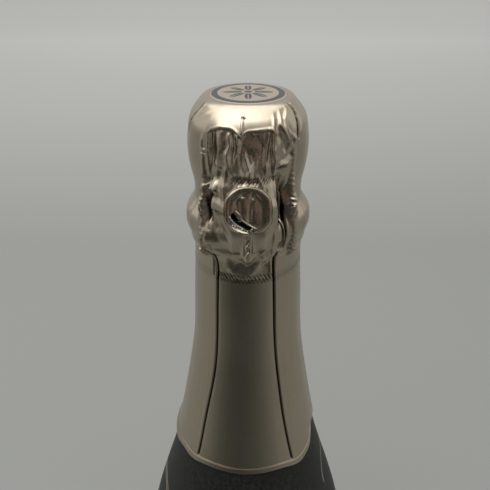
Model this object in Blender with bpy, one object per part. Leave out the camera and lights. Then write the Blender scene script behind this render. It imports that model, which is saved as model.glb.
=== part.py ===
"""A champagne bottle with its cork, wire cage and foil, in metres with +Z up.

The origin is the centre of the ring that the bottle stands on. The pull ring is at the front, which faces -Y.
"""

import math

import bmesh
import bpy
from mathutils import Vector

MM = 0.001

# Fits and facets
CLEARANCE = 0.3 * MM
GLUE_LINE = 0.1 * MM
WELD = 0.001 * MM
TURNED_SEGMENTS = 36
FILLET_SEGMENTS = 2
OUTER_RINGS = 12
INNER_RINGS = 6
WIRE_BEVEL_RESOLUTION = 1

# Glass, outside: a drop is a depth below the mouth
BOTTLE_HEIGHT = 300 * MM
BODY_RADIUS = 44.2 * MM
BODY_TOP_DROP = 182 * MM
SHOULDER_DROP = 136 * MM
SHOULDER_RADIUS = 34.9 * MM
FLARE_DROP = 94 * MM
FLARE_RADIUS = 23.0 * MM
NECK_FOOT_DROP = 59 * MM
NECK_FOOT_RADIUS = 16.8 * MM
NECK_TOP_DROP = 36 * MM
NECK_TOP_RADIUS = 15.2 * MM
UNDERCUT_RADIUS = 14.0 * MM
UNDERCUT_DROP = 2.2 * MM
RING_RADIUS = 17.0 * MM
RING_HEIGHT = 7.0 * MM
RING_DROP = 12.0 * MM
RING_EDGE_ROUND = 2.0 * MM
FINISH_RADIUS = 14.3 * MM
LIP_ROUND = 1.6 * MM
HEEL_ROUND = 7.0 * MM
STANDING_INNER_RADIUS = 32.0 * MM
STANDING_ROUND = 2.0 * MM
PUNT_DEPTH = 33.0 * MM
PUNT_TOP_RADIUS = 9.0 * MM
PUNT_TOP_ROUND = 7.0 * MM

# Glass, inside
BORE_RADIUS = 9.0 * MM
BORE_DEPTH = 32.0 * MM
BORE_ROUND = 1.6 * MM
BODY_WALL = 4.9 * MM
FLARE_WALL = 5.2 * MM
NECK_FOOT_WALL = 5.6 * MM
BASE_WALL = 8.0 * MM
PUNT_WALL = 6.0 * MM
INNER_HEEL_ROUND = 8.0 * MM

# Cork
CORK_DEPTH = 25.0 * MM
CORK_DISC_HEIGHT = 5.5 * MM
CORK_HEAD_HEIGHT = 18.5 * MM
CORK_HEAD_RADIUS = 15.5 * MM
CORK_FOOT_RADIUS = 13.4 * MM
CORK_CAPPED_HEIGHT = 3.0 * MM
CORK_TOP_CHAMFER = 1.2 * MM
CORK_END_CHAMFER = 0.8 * MM
CORK_HEAD_SHARES = ((0.08, 0.5), (0.24, 0.86), (0.5, 1.0), (0.7, 0.96), (0.83, 0.6))
LEG_DENT = 1.3 * MM

# Cage cap
CAP_SHEET = 0.4 * MM
CAP_RADIUS = 14.6 * MM
CAP_SKIRT_HEIGHT = 3.5 * MM
CAP_CHANNEL_DEPTH = 1.0 * MM
CAP_CHANNEL_WIDTH = 2.2 * MM
CAP_RIM_ROUND = 1.0 * MM

# Cage wires
WIRE_RADIUS = 0.45 * MM
STRAND_GAP = 0.3 * MM
CAGE_RING_RADIUS = 12.0 * MM
LEG_BEND = 1.4 * MM
LEG_BEND_SHARE = 0.33
LEG_STEP = 1.3 * MM
LEG_HALF_TURNS = 8.5
LEG_STRAIGHT_STEPS = 3
CORNER_CUTS = 3
CORNER_CUT_SHARE = 0.25
BELT_WIRE_RADIUS = 0.5 * MM
EYELET_GAP = 0.12 * MM
EYELET_SEGMENTS = 5
ARC_SEGMENTS = 6
BELT_TAIL = 2.2 * MM
BELT_SEGMENTS = 43
TAIL_STRAND_GAP = 0.25 * MM
STEM_LENGTH = 9.0 * MM
STEM_HALF_TURNS = 3
STEM_STEP = 0.9 * MM
LOOP_RADIUS = 5.3 * MM
LOOP_LEAN = math.radians(9)
LOOP_SEGMENTS = 18

# Foil
FOIL = 0.35 * MM
FOIL_STANDOFF = 0.3 * MM
TOP_DISC_RADIUS = 11.4 * MM
TOP_DISC_LAP = 1.2 * MM
TEAR_LINE_DROP = 8.1 * MM
TEAR_GAP = 0.3 * MM
CROWN_SHARES = (0.8, 0.45)
HEAD_SHARES = (0.75, 0.35)
BEAD_SHARE = 0.38
RING_ROUND_SHARE = 0.7
RING_SLOPE_SHARE = 0.55
LEG_SLOPE_SHARES = (0.12, 0.35, 0.72)
BELT_FOOT_SHARE = 0.25
FRONT_FLAT = math.radians(25)
FRONT_RAMP = math.radians(9)
LEG_WINDOW_FLAT = math.radians(5.6)
LEG_WINDOW_RAMP = math.radians(7)
LEG_ANGLE_STEPS = (-45, -34, -24, -16, -10.5, -6, 0, 6, 10.5, 16, 24, 34)
KEYHOLE_GAP = 0.3 * MM
KEYHOLE_SEGMENTS = 19
PATCH_MARGIN = 1.3 * MM
PATCH_SWELL = 0.35 * MM
PATCH_RINGS_SHARES = (0.3, 0.55, 0.75, 0.88, 1.0)
PATCH_EDGE_SHARE = 0.5
STEM_COVER_SHARES = (0.45, 0.35)
TAB_HALF_WIDTH = 1.6 * MM
TAB_FOOT = 1.7 * MM
SKIRT_BOTTOM_DROP = 95 * MM
HEM_HEIGHT = 2.0 * MM
HEM_PROUD = 0.25 * MM
PLEAT_PROUD = 0.3 * MM
PLEAT_HALF_WIDTH = 1.0 * MM
PLEAT_AZIMUTH_TOP = math.radians(31)
PLEAT_AZIMUTH_BOTTOM = math.radians(38)
PANEL_STEP = math.radians(10)

# Label
PAPER = 0.25 * MM
LABEL_TOP_DROP = 89 * MM
LABEL_BOTTOM_DROP = 142 * MM

# Places that follow from the sizes
body_top_z = BOTTLE_HEIGHT - BODY_TOP_DROP
skirt_bottom_z = BOTTLE_HEIGHT - SKIRT_BOTTOM_DROP
label_top_z = BOTTLE_HEIGHT - LABEL_TOP_DROP
label_bottom_z = BOTTLE_HEIGHT - LABEL_BOTTOM_DROP
ring_z = BOTTLE_HEIGHT - RING_DROP
ring_bottom_z = ring_z - RING_HEIGHT / 2
ring_top_z = ring_z + RING_HEIGHT / 2
cork_seat_z = BOTTLE_HEIGHT + CLEARANCE
cork_top_z = cork_seat_z + CORK_HEAD_HEIGHT
cork_end_z = cork_seat_z - CORK_DEPTH
shank_radius = BORE_RADIUS - CLEARANCE
strand_offset = WIRE_RADIUS + STRAND_GAP / 2
leg_half_width = strand_offset + WIRE_RADIUS
leg_radius = CORK_HEAD_RADIUS - LEG_DENT + CLEARANCE + leg_half_width
leg_at_ring_radius = RING_RADIUS + CLEARANCE + leg_half_width
dent_radius = CORK_HEAD_RADIUS - LEG_DENT
channel_z = cork_top_z + CLEARANCE + CAP_SHEET
cap_top_z = channel_z + CAP_CHANNEL_DEPTH
cap_skirt_z = channel_z - CAP_SKIRT_HEIGHT
cage_ring_z = channel_z + CLEARANCE + WIRE_RADIUS
eyelet_radius = BELT_WIRE_RADIUS + EYELET_GAP + WIRE_RADIUS
eyelet_outer = eyelet_radius + WIRE_RADIUS
belt_radius = UNDERCUT_RADIUS + CLEARANCE + eyelet_outer
belt_z = ring_bottom_z - CLEARANCE - eyelet_outer
tail_offset = BELT_WIRE_RADIUS + TAIL_STRAND_GAP / 2
hinge_y = -(RING_RADIUS + CLEARANCE + tail_offset + BELT_WIRE_RADIUS)
disc_under_z = max(cap_top_z, cage_ring_z + WIRE_RADIUS) + FOIL_STANDOFF
disc_top_z = disc_under_z + FOIL
hood_cover = FOIL_STANDOFF + FOIL
undercut_z = ring_bottom_z - UNDERCUT_DROP
tear_line_z = undercut_z - TEAR_LINE_DROP
hinge = Vector((0, hinge_y, belt_z))
stem_end = hinge + Vector((0, 0, STEM_LENGTH))
loop_up = Vector((0, math.sin(LOOP_LEAN), math.cos(LOOP_LEAN)))
loop_out = Vector((0, -math.cos(LOOP_LEAN), math.sin(LOOP_LEAN)))
loop_centre = stem_end + loop_up * LOOP_RADIUS
patch_radius = LOOP_RADIUS + PATCH_MARGIN
leg_azimuths = [math.radians(45 + 90 * k) for k in range(4)]
leg_angles = [azimuth + math.radians(step) for azimuth in leg_azimuths for step in LEG_ANGLE_STEPS]


# Small tools

def clear_scene():
    for obj in list(bpy.data.objects):
        bpy.data.objects.remove(obj, do_unlink=True)


def material(name, colour, roughness, metallic):
    made = bpy.data.materials.new(name)
    made.use_nodes = True
    shader = made.node_tree.nodes["Principled BSDF"]
    shader.inputs["Base Color"].default_value = (*colour, 1)
    shader.inputs["Roughness"].default_value = roughness
    shader.inputs["Metallic"].default_value = metallic
    return made


def add_mesh(name, bm, finish, sharp_degrees=40):
    """Turn a bmesh into a named object with faces out and smooth shading."""
    bmesh.ops.recalc_face_normals(bm, faces=bm.faces)
    mesh = bpy.data.meshes.new(name)
    bm.to_mesh(mesh)
    bm.free()
    mesh.shade_smooth()
    mesh.set_sharp_from_angle(angle=math.radians(sharp_degrees))
    obj = bpy.data.objects.new(name, mesh)
    bpy.context.scene.collection.objects.link(obj)
    obj.data.materials.append(finish)
    return obj


def rounded(corners):
    """Points of an outline whose corners are (radius, z, fillet)."""
    points = []
    for i, (r, z, fillet) in enumerate(corners):
        here = Vector((r, z))
        if not fillet or i in (0, len(corners) - 1):
            points.append(here)
            continue
        back = Vector(corners[i - 1][:2]) - here
        ahead = Vector(corners[i + 1][:2]) - here
        half_angle = back.angle(ahead) / 2
        reach = fillet / math.tan(half_angle)
        start, end = here + back.normalized() * reach, here + ahead.normalized() * reach
        centre = here + (back.normalized() + ahead.normalized()).normalized() * (fillet / math.sin(half_angle))
        first, last = start - centre, end - centre
        sweep = first.angle(last)
        for k in range(FILLET_SEGMENTS + 1):
            share = k / FILLET_SEGMENTS
            part = math.sin((1 - share) * sweep) / math.sin(sweep)
            points.append(centre + first * part + last * (math.sin(share * sweep) / math.sin(sweep)))
    return points


def smooth_between(stations, z):
    """Radius at height z on a smooth curve through (z, radius) stations that run upwards."""
    slopes = [0.0]
    for k in range(1, len(stations) - 1):
        low, high = stations[k - 1], stations[k + 1]
        slopes.append((high[1] - low[1]) / (high[0] - low[0]))
    slopes.append(0.0)
    if z <= stations[0][0]:
        return stations[0][1]
    for k in range(len(stations) - 1):
        (z0, r0), (z1, r1) = stations[k], stations[k + 1]
        if z <= z1:
            span = z1 - z0
            t = (z - z0) / span
            return (
                (2 * t**3 - 3 * t**2 + 1) * r0
                + (t**3 - 2 * t**2 + t) * span * slopes[k]
                + (3 * t**2 - 2 * t**3) * r1
                + (t**3 - t**2) * span * slopes[k + 1]
            )
    return stations[-1][1]


def offset_outline(points, distance):
    """An open outline moved sideways by a distance, outwards where it runs downwards on the outer side."""
    moved = []
    for i, here in enumerate(points):
        back = points[max(i - 1, 0)]
        ahead = points[min(i + 1, len(points) - 1)]
        along = (ahead - back).normalized()
        moved.append(here + Vector((-along.y, along.x)) * distance)
    return moved


def between(low, high, steps):
    """Values from low to high, both included, in equal steps."""
    return [low + (high - low) * k / steps for k in range(steps + 1)]


def turned(name, outline, finish, segments=TURNED_SEGMENTS):
    """Spin an outline of (radius, z) points that starts and ends on the axis, or closes on itself."""
    bm = bmesh.new()
    verts = [bm.verts.new((p.x, 0, p.y)) for p in outline]
    edges = [bm.edges.new(pair) for pair in zip(verts, verts[1:])]
    on_axis = abs(outline[0].x) < CLEARANCE and abs(outline[-1].x) < CLEARANCE
    if not on_axis:
        edges.append(bm.edges.new((verts[-1], verts[0])))
    bmesh.ops.spin(
        bm, geom=verts + edges, cent=(0, 0, 0), axis=(0, 0, 1), angle=2 * math.pi, steps=segments, use_merge=True
    )
    bmesh.ops.remove_doubles(bm, verts=bm.verts, dist=WELD)
    return add_mesh(name, bm, finish)


def lofted(name, rings, finish, closed=False):
    """Skin a stack of equal rings of points. The ends are capped, or joined to each other when closed."""
    bm = bmesh.new()
    loops = [[bm.verts.new(p) for p in ring] for ring in rings]
    pairs = list(zip(loops, loops[1:]))
    if closed:
        pairs.append((loops[-1], loops[0]))
    for lower, upper in pairs:
        for k in range(len(lower)):
            nxt = (k + 1) % len(lower)
            bm.faces.new((lower[k], lower[nxt], upper[nxt], upper[k]))
    if not closed:
        for loop in (loops[0], loops[-1]):
            centre = bm.verts.new(sum((v.co for v in loop), Vector()) / len(loop))
            for k in range(len(loop)):
                bm.faces.new((loop[k], loop[(k + 1) % len(loop)], centre))
    return add_mesh(name, bm, finish)


def polar(radius, azimuth, z):
    """A point at an azimuth counted from the front (-Y) towards +X."""
    return Vector((radius * math.sin(azimuth), -radius * math.cos(azimuth), z))


def window(azimuth, centre, flat, ramp):
    """1 within flat of the centre azimuth, falling smoothly to 0 over the ramp beyond it."""
    away = abs((azimuth - centre + math.pi) % (2 * math.pi) - math.pi)
    share = min(max((flat + ramp - away) / ramp, 0), 1)
    return share * share * (3 - 2 * share)


def leg_window(azimuth):
    return max(window(azimuth, leg, LEG_WINDOW_FLAT, LEG_WINDOW_RAMP) for leg in leg_azimuths)


def blended_rings(profiles, weights, angles):
    """Rings whose points blend several outlines of equal length, by weights that depend on the azimuth."""
    rings = []
    for stations in zip(*profiles):
        ring = []
        for azimuth in angles:
            shares = weights(azimuth)
            point = sum((p * s for p, s in zip(stations, shares)), Vector((0, 0)))
            ring.append(polar(point.x, azimuth, point.y))
        rings.append(ring)
    return rings


def wire(name, points, radius, finish, cyclic=False):
    """A round wire through points."""
    curve = bpy.data.curves.new(name, "CURVE")
    curve.dimensions = "3D"
    curve.bevel_depth = radius
    curve.bevel_resolution = WIRE_BEVEL_RESOLUTION
    curve.use_fill_caps = True
    spline = curve.splines.new("POLY")
    spline.points.add(len(points) - 1)
    for point, place in zip(spline.points, points):
        point.co = (*place, 1)
    spline.use_cyclic_u = cyclic
    spline.use_smooth = True
    obj = bpy.data.objects.new(name, curve)
    bpy.context.scene.collection.objects.link(obj)
    curve.materials.append(finish)
    return obj


def eased_path(corners, step):
    """Points at about a step apart along a path whose corners are cut off a few times."""
    path = [Vector(c) for c in corners]
    for _ in range(CORNER_CUTS):
        cut = [path[0]]
        for a, b in zip(path, path[1:]):
            cut += [a.lerp(b, CORNER_CUT_SHARE), b.lerp(a, CORNER_CUT_SHARE)]
        path = cut + [path[-1]]
    lengths = [(b - a).length for a, b in zip(path, path[1:])]
    total = sum(lengths)
    count = max(round(total / step), 2)
    points, travelled, k = [], 0.0, 0
    for n in range(count + 1):
        target = total * n / count
        while k < len(lengths) - 1 and travelled + lengths[k] < target:
            travelled += lengths[k]
            k += 1
        points.append(path[k].lerp(path[k + 1], (target - travelled) / lengths[k]))
    return points


# Glass bottle

glass_stations = [
    (body_top_z, BODY_RADIUS),
    (BOTTLE_HEIGHT - SHOULDER_DROP, SHOULDER_RADIUS),
    (BOTTLE_HEIGHT - FLARE_DROP, FLARE_RADIUS),
    (BOTTLE_HEIGHT - NECK_FOOT_DROP, NECK_FOOT_RADIUS),
    (BOTTLE_HEIGHT - NECK_TOP_DROP, NECK_TOP_RADIUS),
    (undercut_z, UNDERCUT_RADIUS),
]
inner_stations = [
    (body_top_z, BODY_RADIUS - BODY_WALL),
    (BOTTLE_HEIGHT - SHOULDER_DROP, SHOULDER_RADIUS - BODY_WALL),
    (BOTTLE_HEIGHT - FLARE_DROP, FLARE_RADIUS - FLARE_WALL),
    (BOTTLE_HEIGHT - NECK_FOOT_DROP, NECK_FOOT_RADIUS - NECK_FOOT_WALL),
    (BOTTLE_HEIGHT - BORE_DEPTH, BORE_RADIUS),
]
glass_levels = between(body_top_z, undercut_z, OUTER_RINGS)


def glass_radius(z):
    """The outer radius of the faceted glass at a height between the body and the undercut."""
    for low, high in zip(glass_levels, glass_levels[1:]):
        if z <= high:
            share = (z - low) / (high - low)
            return smooth_between(glass_stations, low) * (1 - share) + smooth_between(glass_stations, high) * share
    return UNDERCUT_RADIUS


def levels_between(high_z, low_z):
    """Heights from the top down: the two ends and the glass's own levels between them."""
    return [high_z] + [z for z in reversed(glass_levels) if low_z < z < high_z] + [low_z]


def glass_outline(low_z, high_z):
    """The outside of the glass between two heights, from the top down."""
    return [Vector((glass_radius(z), z)) for z in levels_between(high_z, low_z)]


def build_glass(finish):
    base = rounded(
        [
            (0, PUNT_DEPTH, 0),
            (PUNT_TOP_RADIUS, PUNT_DEPTH, PUNT_TOP_ROUND),
            (STANDING_INNER_RADIUS, 0, STANDING_ROUND),
            (BODY_RADIUS, 0, HEEL_ROUND),
            (BODY_RADIUS, body_top_z, 0),
        ]
    )
    shoulder = glass_outline(body_top_z, undercut_z)[::-1]
    finish_outline = rounded(
        [
            (UNDERCUT_RADIUS, undercut_z, 0),
            (UNDERCUT_RADIUS, ring_bottom_z, 0),
            (RING_RADIUS, ring_bottom_z, RING_EDGE_ROUND),
            (RING_RADIUS, ring_top_z, RING_EDGE_ROUND),
            (FINISH_RADIUS, ring_top_z, 0),
            (FINISH_RADIUS, BOTTLE_HEIGHT, LIP_ROUND),
            (BORE_RADIUS, BOTTLE_HEIGHT, BORE_ROUND),
            (BORE_RADIUS, BOTTLE_HEIGHT - BORE_DEPTH, 0),
        ]
    )
    heights = between(BOTTLE_HEIGHT - BORE_DEPTH, body_top_z, INNER_RINGS)
    inside = [Vector((smooth_between(inner_stations, z), z)) for z in heights]
    inner_radius = BODY_RADIUS - BODY_WALL
    floor = rounded(
        [
            (inner_radius, body_top_z, 0),
            (inner_radius, BASE_WALL, INNER_HEEL_ROUND),
            (STANDING_INNER_RADIUS - PUNT_WALL / 2, BASE_WALL, INNER_HEEL_ROUND / 2),
            (PUNT_TOP_RADIUS, PUNT_DEPTH + PUNT_WALL, PUNT_TOP_ROUND),
            (0, PUNT_DEPTH + PUNT_WALL, 0),
        ]
    )
    outline = base + shoulder[1:] + finish_outline[1:] + inside[1:] + floor[1:]
    return turned("glass_bottle", outline, finish)


# Cork

def build_cork(cork, disc):
    """The mushroom cork, dented by the cage's legs, and the two discs glued under it."""
    body_end_z = cork_end_z + 2 * (CORK_DISC_HEIGHT + GLUE_LINE)
    capped_z = cork_top_z - CORK_CAPPED_HEIGHT
    capped_radius = CAP_RADIUS - CAP_SHEET - CLEARANCE
    capped_dent_radius = dent_radius - CAP_SHEET - CLEARANCE
    plain = [Vector((shank_radius, body_end_z)), Vector((shank_radius, cork_seat_z))]
    plain.append(Vector((CORK_FOOT_RADIUS, cork_seat_z)))
    for height_share, swell_share in CORK_HEAD_SHARES:
        radius = CORK_FOOT_RADIUS + (CORK_HEAD_RADIUS - CORK_FOOT_RADIUS) * swell_share
        plain.append(Vector((radius, cork_seat_z + CORK_HEAD_HEIGHT * height_share)))
    plain += [
        Vector((capped_radius, capped_z)),
        Vector((capped_radius, cork_top_z - CORK_TOP_CHAMFER)),
        Vector((capped_radius - CORK_TOP_CHAMFER, cork_top_z)),
    ]
    dented = [Vector((min(point.x, dent_radius), point.y)) for point in plain[:-3]]
    dented += [Vector((point.x - capped_radius + capped_dent_radius, point.y)) for point in plain[-3:]]
    rings = blended_rings([plain, dented], lambda a: (1 - leg_window(a), leg_window(a)), leg_angles)
    lofted("cork_body", rings, cork)

    upper_z = cork_end_z + CORK_DISC_HEIGHT + GLUE_LINE
    for name, low_z, chamfer in (("cork_disc_upper", upper_z, GLUE_LINE), ("cork_disc_lower", cork_end_z, CORK_END_CHAMFER)):
        outline = [
            Vector((0, low_z)),
            Vector((shank_radius - chamfer, low_z)),
            Vector((shank_radius, low_z + chamfer)),
            Vector((shank_radius, low_z + CORK_DISC_HEIGHT)),
            Vector((0, low_z + CORK_DISC_HEIGHT)),
        ]
        turned(name, outline, disc)


# Cage cap

def build_cap(finish):
    """The pressed cap: a raised middle, a channel for the top wire and a skirt with a notch for each leg."""
    channel_inner = CAGE_RING_RADIUS - CAP_CHANNEL_WIDTH / 2
    channel_outer = CAGE_RING_RADIUS + CAP_CHANNEL_WIDTH / 2
    rim_z = channel_z + (cap_top_z - channel_z) / 2
    tops = {
        "rim": [
            (channel_inner - CAP_CHANNEL_DEPTH, cap_top_z),
            (channel_inner, channel_z),
            (channel_outer, channel_z),
            (channel_outer + CAP_RIM_ROUND / 2, rim_z),
            (CAP_RADIUS - CAP_RIM_ROUND / 2, rim_z),
            (CAP_RADIUS, rim_z - CAP_RIM_ROUND),
            (CAP_RADIUS, cap_skirt_z),
        ],
        "notch": [
            (channel_inner - CAP_CHANNEL_DEPTH, cap_top_z),
            (channel_inner, channel_z),
            ((channel_inner + CAGE_RING_RADIUS) / 2, channel_z),
            (CAGE_RING_RADIUS, channel_z),
            (dent_radius - CAP_RIM_ROUND / 2, channel_z),
            (dent_radius, channel_z - CAP_RIM_ROUND / 2),
            (dent_radius, cap_skirt_z),
        ],
    }
    outlines = []
    for corners in tops.values():
        top = [Vector(c) for c in corners]
        under = offset_outline(top, -CAP_SHEET)
        under[-1] = Vector((under[-1].x, cap_skirt_z))
        outlines.append(top + under[::-1])
    rings = blended_rings(outlines, lambda a: (1 - leg_window(a), leg_window(a)), leg_angles)
    lofted("cage_cap", rings, finish)


# Cage wires

def leg_path():
    """The centre line of a twisted leg as (radius, z), from the top ring down to its eyelet."""
    corners = [
        (CAGE_RING_RADIUS + LEG_BEND, cage_ring_z),
        (leg_radius, cage_ring_z),
        (leg_radius, cage_ring_z - leg_half_width),
        (leg_radius, (cork_seat_z + cork_top_z) / 2),
        (leg_radius, cork_seat_z),
        (leg_at_ring_radius, ring_top_z),
        (leg_at_ring_radius, ring_z),
        (leg_at_ring_radius, ring_bottom_z + WIRE_RADIUS),
        (leg_at_ring_radius - STRAND_GAP, ring_bottom_z - STRAND_GAP),
    ]
    return eased_path(corners, LEG_STEP)


def twisted(path, side, azimuth):
    """One strand of a twisted pair that runs along a path of (radius, z) points."""
    across = polar(1, azimuth + math.pi / 2, 0)
    points = []
    last = len(path) - 1
    for k, here in enumerate(path):
        along = (path[min(k + 1, last)] - path[max(k - 1, 0)]).normalized()
        outward = polar(-along.y, azimuth, along.x)
        share = max((k - LEG_STRAIGHT_STEPS) / (last - LEG_STRAIGHT_STEPS), 0)
        phase = LEG_HALF_TURNS * math.pi * share
        offset = (across * math.cos(phase) + outward * math.sin(phase)) * (strand_offset * side)
        points.append(polar(here.x, azimuth, here.y) + offset)
    return points


def build_frame_wire(finish):
    """One closed wire: four arcs of the top ring, and between them four twisted legs that end in eyelets."""
    path = leg_path()
    bend_angle = (strand_offset + LEG_BEND) / CAGE_RING_RADIUS
    points = []
    for azimuth, following in zip(leg_azimuths, leg_azimuths[1:] + [leg_azimuths[0] + 2 * math.pi]):
        down = twisted(path, -1, azimuth)
        up = twisted(path, 1, azimuth)
        belt = polar(belt_radius, azimuth, belt_z)
        end = (down[-1] + up[-1]) / 2
        along = (belt - end).normalized()
        side = (down[-1] - end).normalized()
        side = (side - along * side.dot(along)).normalized()
        eyelet = []
        for angle in between(0, math.pi, EYELET_SEGMENTS):
            eyelet.append(belt + (side * math.cos(angle) + along * math.sin(angle)) * eyelet_radius)
        arc = [
            polar(CAGE_RING_RADIUS, a, cage_ring_z)
            for a in between(azimuth + bend_angle, following - bend_angle, ARC_SEGMENTS)
        ]
        corner = LEG_BEND * LEG_BEND_SHARE
        corner_radius = CAGE_RING_RADIUS + corner
        corner_angle = (strand_offset + corner) / CAGE_RING_RADIUS
        points += down + eyelet + up[::-1]
        points.append(polar(corner_radius, azimuth + corner_angle, cage_ring_z))
        points += arc
        points.append(polar(corner_radius, following - corner_angle, cage_ring_z))
    wire("cage_frame_wire", points, WIRE_RADIUS, finish, cyclic=True)


def build_belt_wire(finish):
    """The belt round the neck, open at the front, where its two ends turn out towards the pull ring."""
    tail_y = hinge_y + 2 * BELT_WIRE_RADIUS + CLEARANCE
    turn_angle = BELT_TAIL / belt_radius
    points = [Vector((tail_offset, tail_y, belt_z)), Vector((tail_offset, (tail_y - belt_radius) / 2, belt_z))]
    for azimuth in between(turn_angle, 2 * math.pi - turn_angle, BELT_SEGMENTS):
        points.append(polar(belt_radius, azimuth, belt_z))
    points.append(Vector((-tail_offset, (tail_y - belt_radius) / 2, belt_z)))
    points.append(Vector((-tail_offset, tail_y, belt_z)))
    wire("cage_belt_wire", points, BELT_WIRE_RADIUS, finish)


def build_pull_ring(finish):
    """One wire: up the twisted stem, round the loop and down the stem again."""
    heights = between(-BELT_WIRE_RADIUS, STEM_LENGTH - tail_offset, round(STEM_LENGTH / STEM_STEP))
    strands = []
    for side in (1, -1):
        strand = []
        for k, height in enumerate(heights):
            phase = STEM_HALF_TURNS * math.pi * k / (len(heights) - 1)
            offset = Vector((math.cos(phase), math.sin(phase), 0)) * (tail_offset * side)
            strand.append(hinge + Vector((0, 0, height)) + offset)
        strands.append(strand)
    first_side = -1 if STEM_HALF_TURNS % 2 else 1
    opening = 2 * tail_offset / LOOP_RADIUS
    loop = []
    for angle in between(opening, 2 * math.pi - opening, LOOP_SEGMENTS):
        sideways = Vector((1, 0, 0)) * (math.sin(angle) * first_side)
        loop.append(loop_centre + (sideways - loop_up * math.cos(angle)) * LOOP_RADIUS)
    ring = wire("cage_pull_ring", strands[0] + loop + strands[1][::-1], BELT_WIRE_RADIUS, finish)
    for point in ring.data.splines[0].points:
        point.co -= Vector((*hinge, 0))
    ring.location = hinge


# Foil

def part_way(low, high, share):
    return low + (high - low) * share


def hood_stations():
    """What the hood lies on from the top down: (height, radius between the legs, radius over a leg)."""
    mouth = TOP_DISC_RADIUS - TOP_DISC_LAP
    cap_edge = CAP_RADIUS - CAP_RIM_ROUND / 2
    tear_radius = glass_radius(tear_line_z)
    belt_outer = belt_radius + BELT_WIRE_RADIUS
    leg = leg_radius + leg_half_width
    ring_leg = leg_at_ring_radius + leg_half_width
    crown = [part_way(cap_skirt_z, disc_top_z, share) for share in CROWN_SHARES]
    head = [part_way(cork_seat_z, cap_skirt_z, share) for share in HEAD_SHARES]
    slope = [part_way(leg, ring_leg, share) for share in LEG_SLOPE_SHARES]
    ring_round = RING_EDGE_ROUND * RING_ROUND_SHARE
    shoulder = part_way(FINISH_RADIUS, RING_RADIUS, RING_SLOPE_SHARE)
    return [
        (disc_top_z, mouth, mouth),
        (disc_top_z, TOP_DISC_RADIUS, cap_edge),
        (crown[0], cap_edge, leg - WIRE_RADIUS),
        (crown[1], CAP_RADIUS, leg),
        (cap_skirt_z, CAP_RADIUS, leg),
        (head[0], CORK_HEAD_RADIUS, leg),
        (head[1], CORK_HEAD_RADIUS, leg),
        (cork_seat_z + CORK_TOP_CHAMFER, CORK_FOOT_RADIUS + CORK_TOP_CHAMFER, slope[0]),
        (BOTTLE_HEIGHT - LIP_ROUND, FINISH_RADIUS, slope[1]),
        (part_way(ring_top_z, BOTTLE_HEIGHT, BEAD_SHARE), FINISH_RADIUS, slope[2]),
        (ring_top_z + FOIL_STANDOFF, shoulder, ring_leg),
        (ring_top_z - ring_round, RING_RADIUS, ring_leg),
        (ring_bottom_z + ring_round, RING_RADIUS, ring_leg),
        (belt_z + BELT_WIRE_RADIUS, belt_outer, ring_leg),
        (belt_z - BELT_WIRE_RADIUS, belt_outer, ring_leg - 2 * WIRE_RADIUS),
        (belt_z - 2 * eyelet_outer, part_way(tear_radius, belt_outer, BELT_FOOT_SHARE), belt_outer - FOIL),
        (tear_line_z, tear_radius, tear_radius),
    ]


def hood_profiles():
    """The outlines under the hood: between the legs, over a leg, and over the pull ring at the front."""
    stations = hood_stations()
    plain = [Vector((r, z)) for z, r, over_leg in stations]
    leg = [Vector((over_leg, z)) for z, r, over_leg in stations]
    front = []
    for point in plain:
        loop_radius = -stem_end.y - math.tan(LOOP_LEAN) * max(point.y - stem_end.z, 0) - hood_cover
        over_loop = ring_z < point.y < loop_centre.z + 2 * LOOP_RADIUS
        front.append(Vector((max(point.x, loop_radius) if over_loop else point.x, point.y)))
    return [plain, leg, front]


def hood_weights(azimuth):
    leg = leg_window(azimuth)
    front = window(azimuth, 0, FRONT_FLAT, FRONT_RAMP) * (1 - leg)
    return (1 - leg - front, leg, front)


def sheet_rings(profiles, weights, angles, gap, thickness):
    """Rings of a closed sheet that lies a gap off its profiles: down its outside and up its inside."""
    outer = [offset_outline(p, gap + thickness) for p in profiles]
    inner = [offset_outline(p, gap) for p in profiles]
    for own, other, profile in zip(outer, inner, profiles):
        for sheet in (own, other):
            sheet[0].x = profile[0].x
            sheet[-1].y = profile[-1].y
    return blended_rings(outer, weights, angles) + blended_rings(inner, weights, angles)[::-1]


def build_hood(finish):
    rings = sheet_rings(hood_profiles(), hood_weights, leg_angles, FOIL_STANDOFF, FOIL)
    hood = lofted("foil_hood", rings, finish, closed=True)
    cutter = keyhole_cutter()
    cut = hood.modifiers.new("Keyhole", "BOOLEAN")
    cut.operation = "DIFFERENCE"
    cut.object = cutter


def keyhole_outline(grown):
    """Points (across, up) about the loop's centre: a round that runs down into a tab over the stem."""
    radius, half_width = patch_radius + grown, TAB_HALF_WIDTH + grown
    start = math.asin(half_width / radius)
    outline = []
    for angle in between(start, 2 * math.pi - start, KEYHOLE_SEGMENTS):
        outline.append((radius * math.sin(angle), -radius * math.cos(angle)))
    return outline


def keyhole_cutter():
    """A prism through the front of the hood: the patch's outline with a gap round it, down to the belt."""
    half_width = TAB_HALF_WIDTH + KEYHOLE_GAP
    foot_z = belt_z - eyelet_outer
    outline = [(across, loop_centre.z + up) for across, up in keyhole_outline(KEYHOLE_GAP)]
    outline += [(-half_width, foot_z), (half_width, foot_z)]
    bm = bmesh.new()
    near_y = hinge_y - patch_radius
    front = [bm.verts.new((x, near_y, z)) for x, z in outline]
    face = bm.faces.new(front)
    moved = bmesh.ops.extrude_face_region(bm, geom=[face])
    depth = Vector((0, -near_y - BORE_RADIUS, 0))
    bmesh.ops.translate(bm, verts=[v for v in moved["geom"] if isinstance(v, bmesh.types.BMVert)], vec=depth)
    cutter = add_mesh("keyhole_cutter", bm, bpy.data.materials["foil"])
    cutter.hide_render = True
    cutter.display_type = "WIRE"
    return cutter


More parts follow.
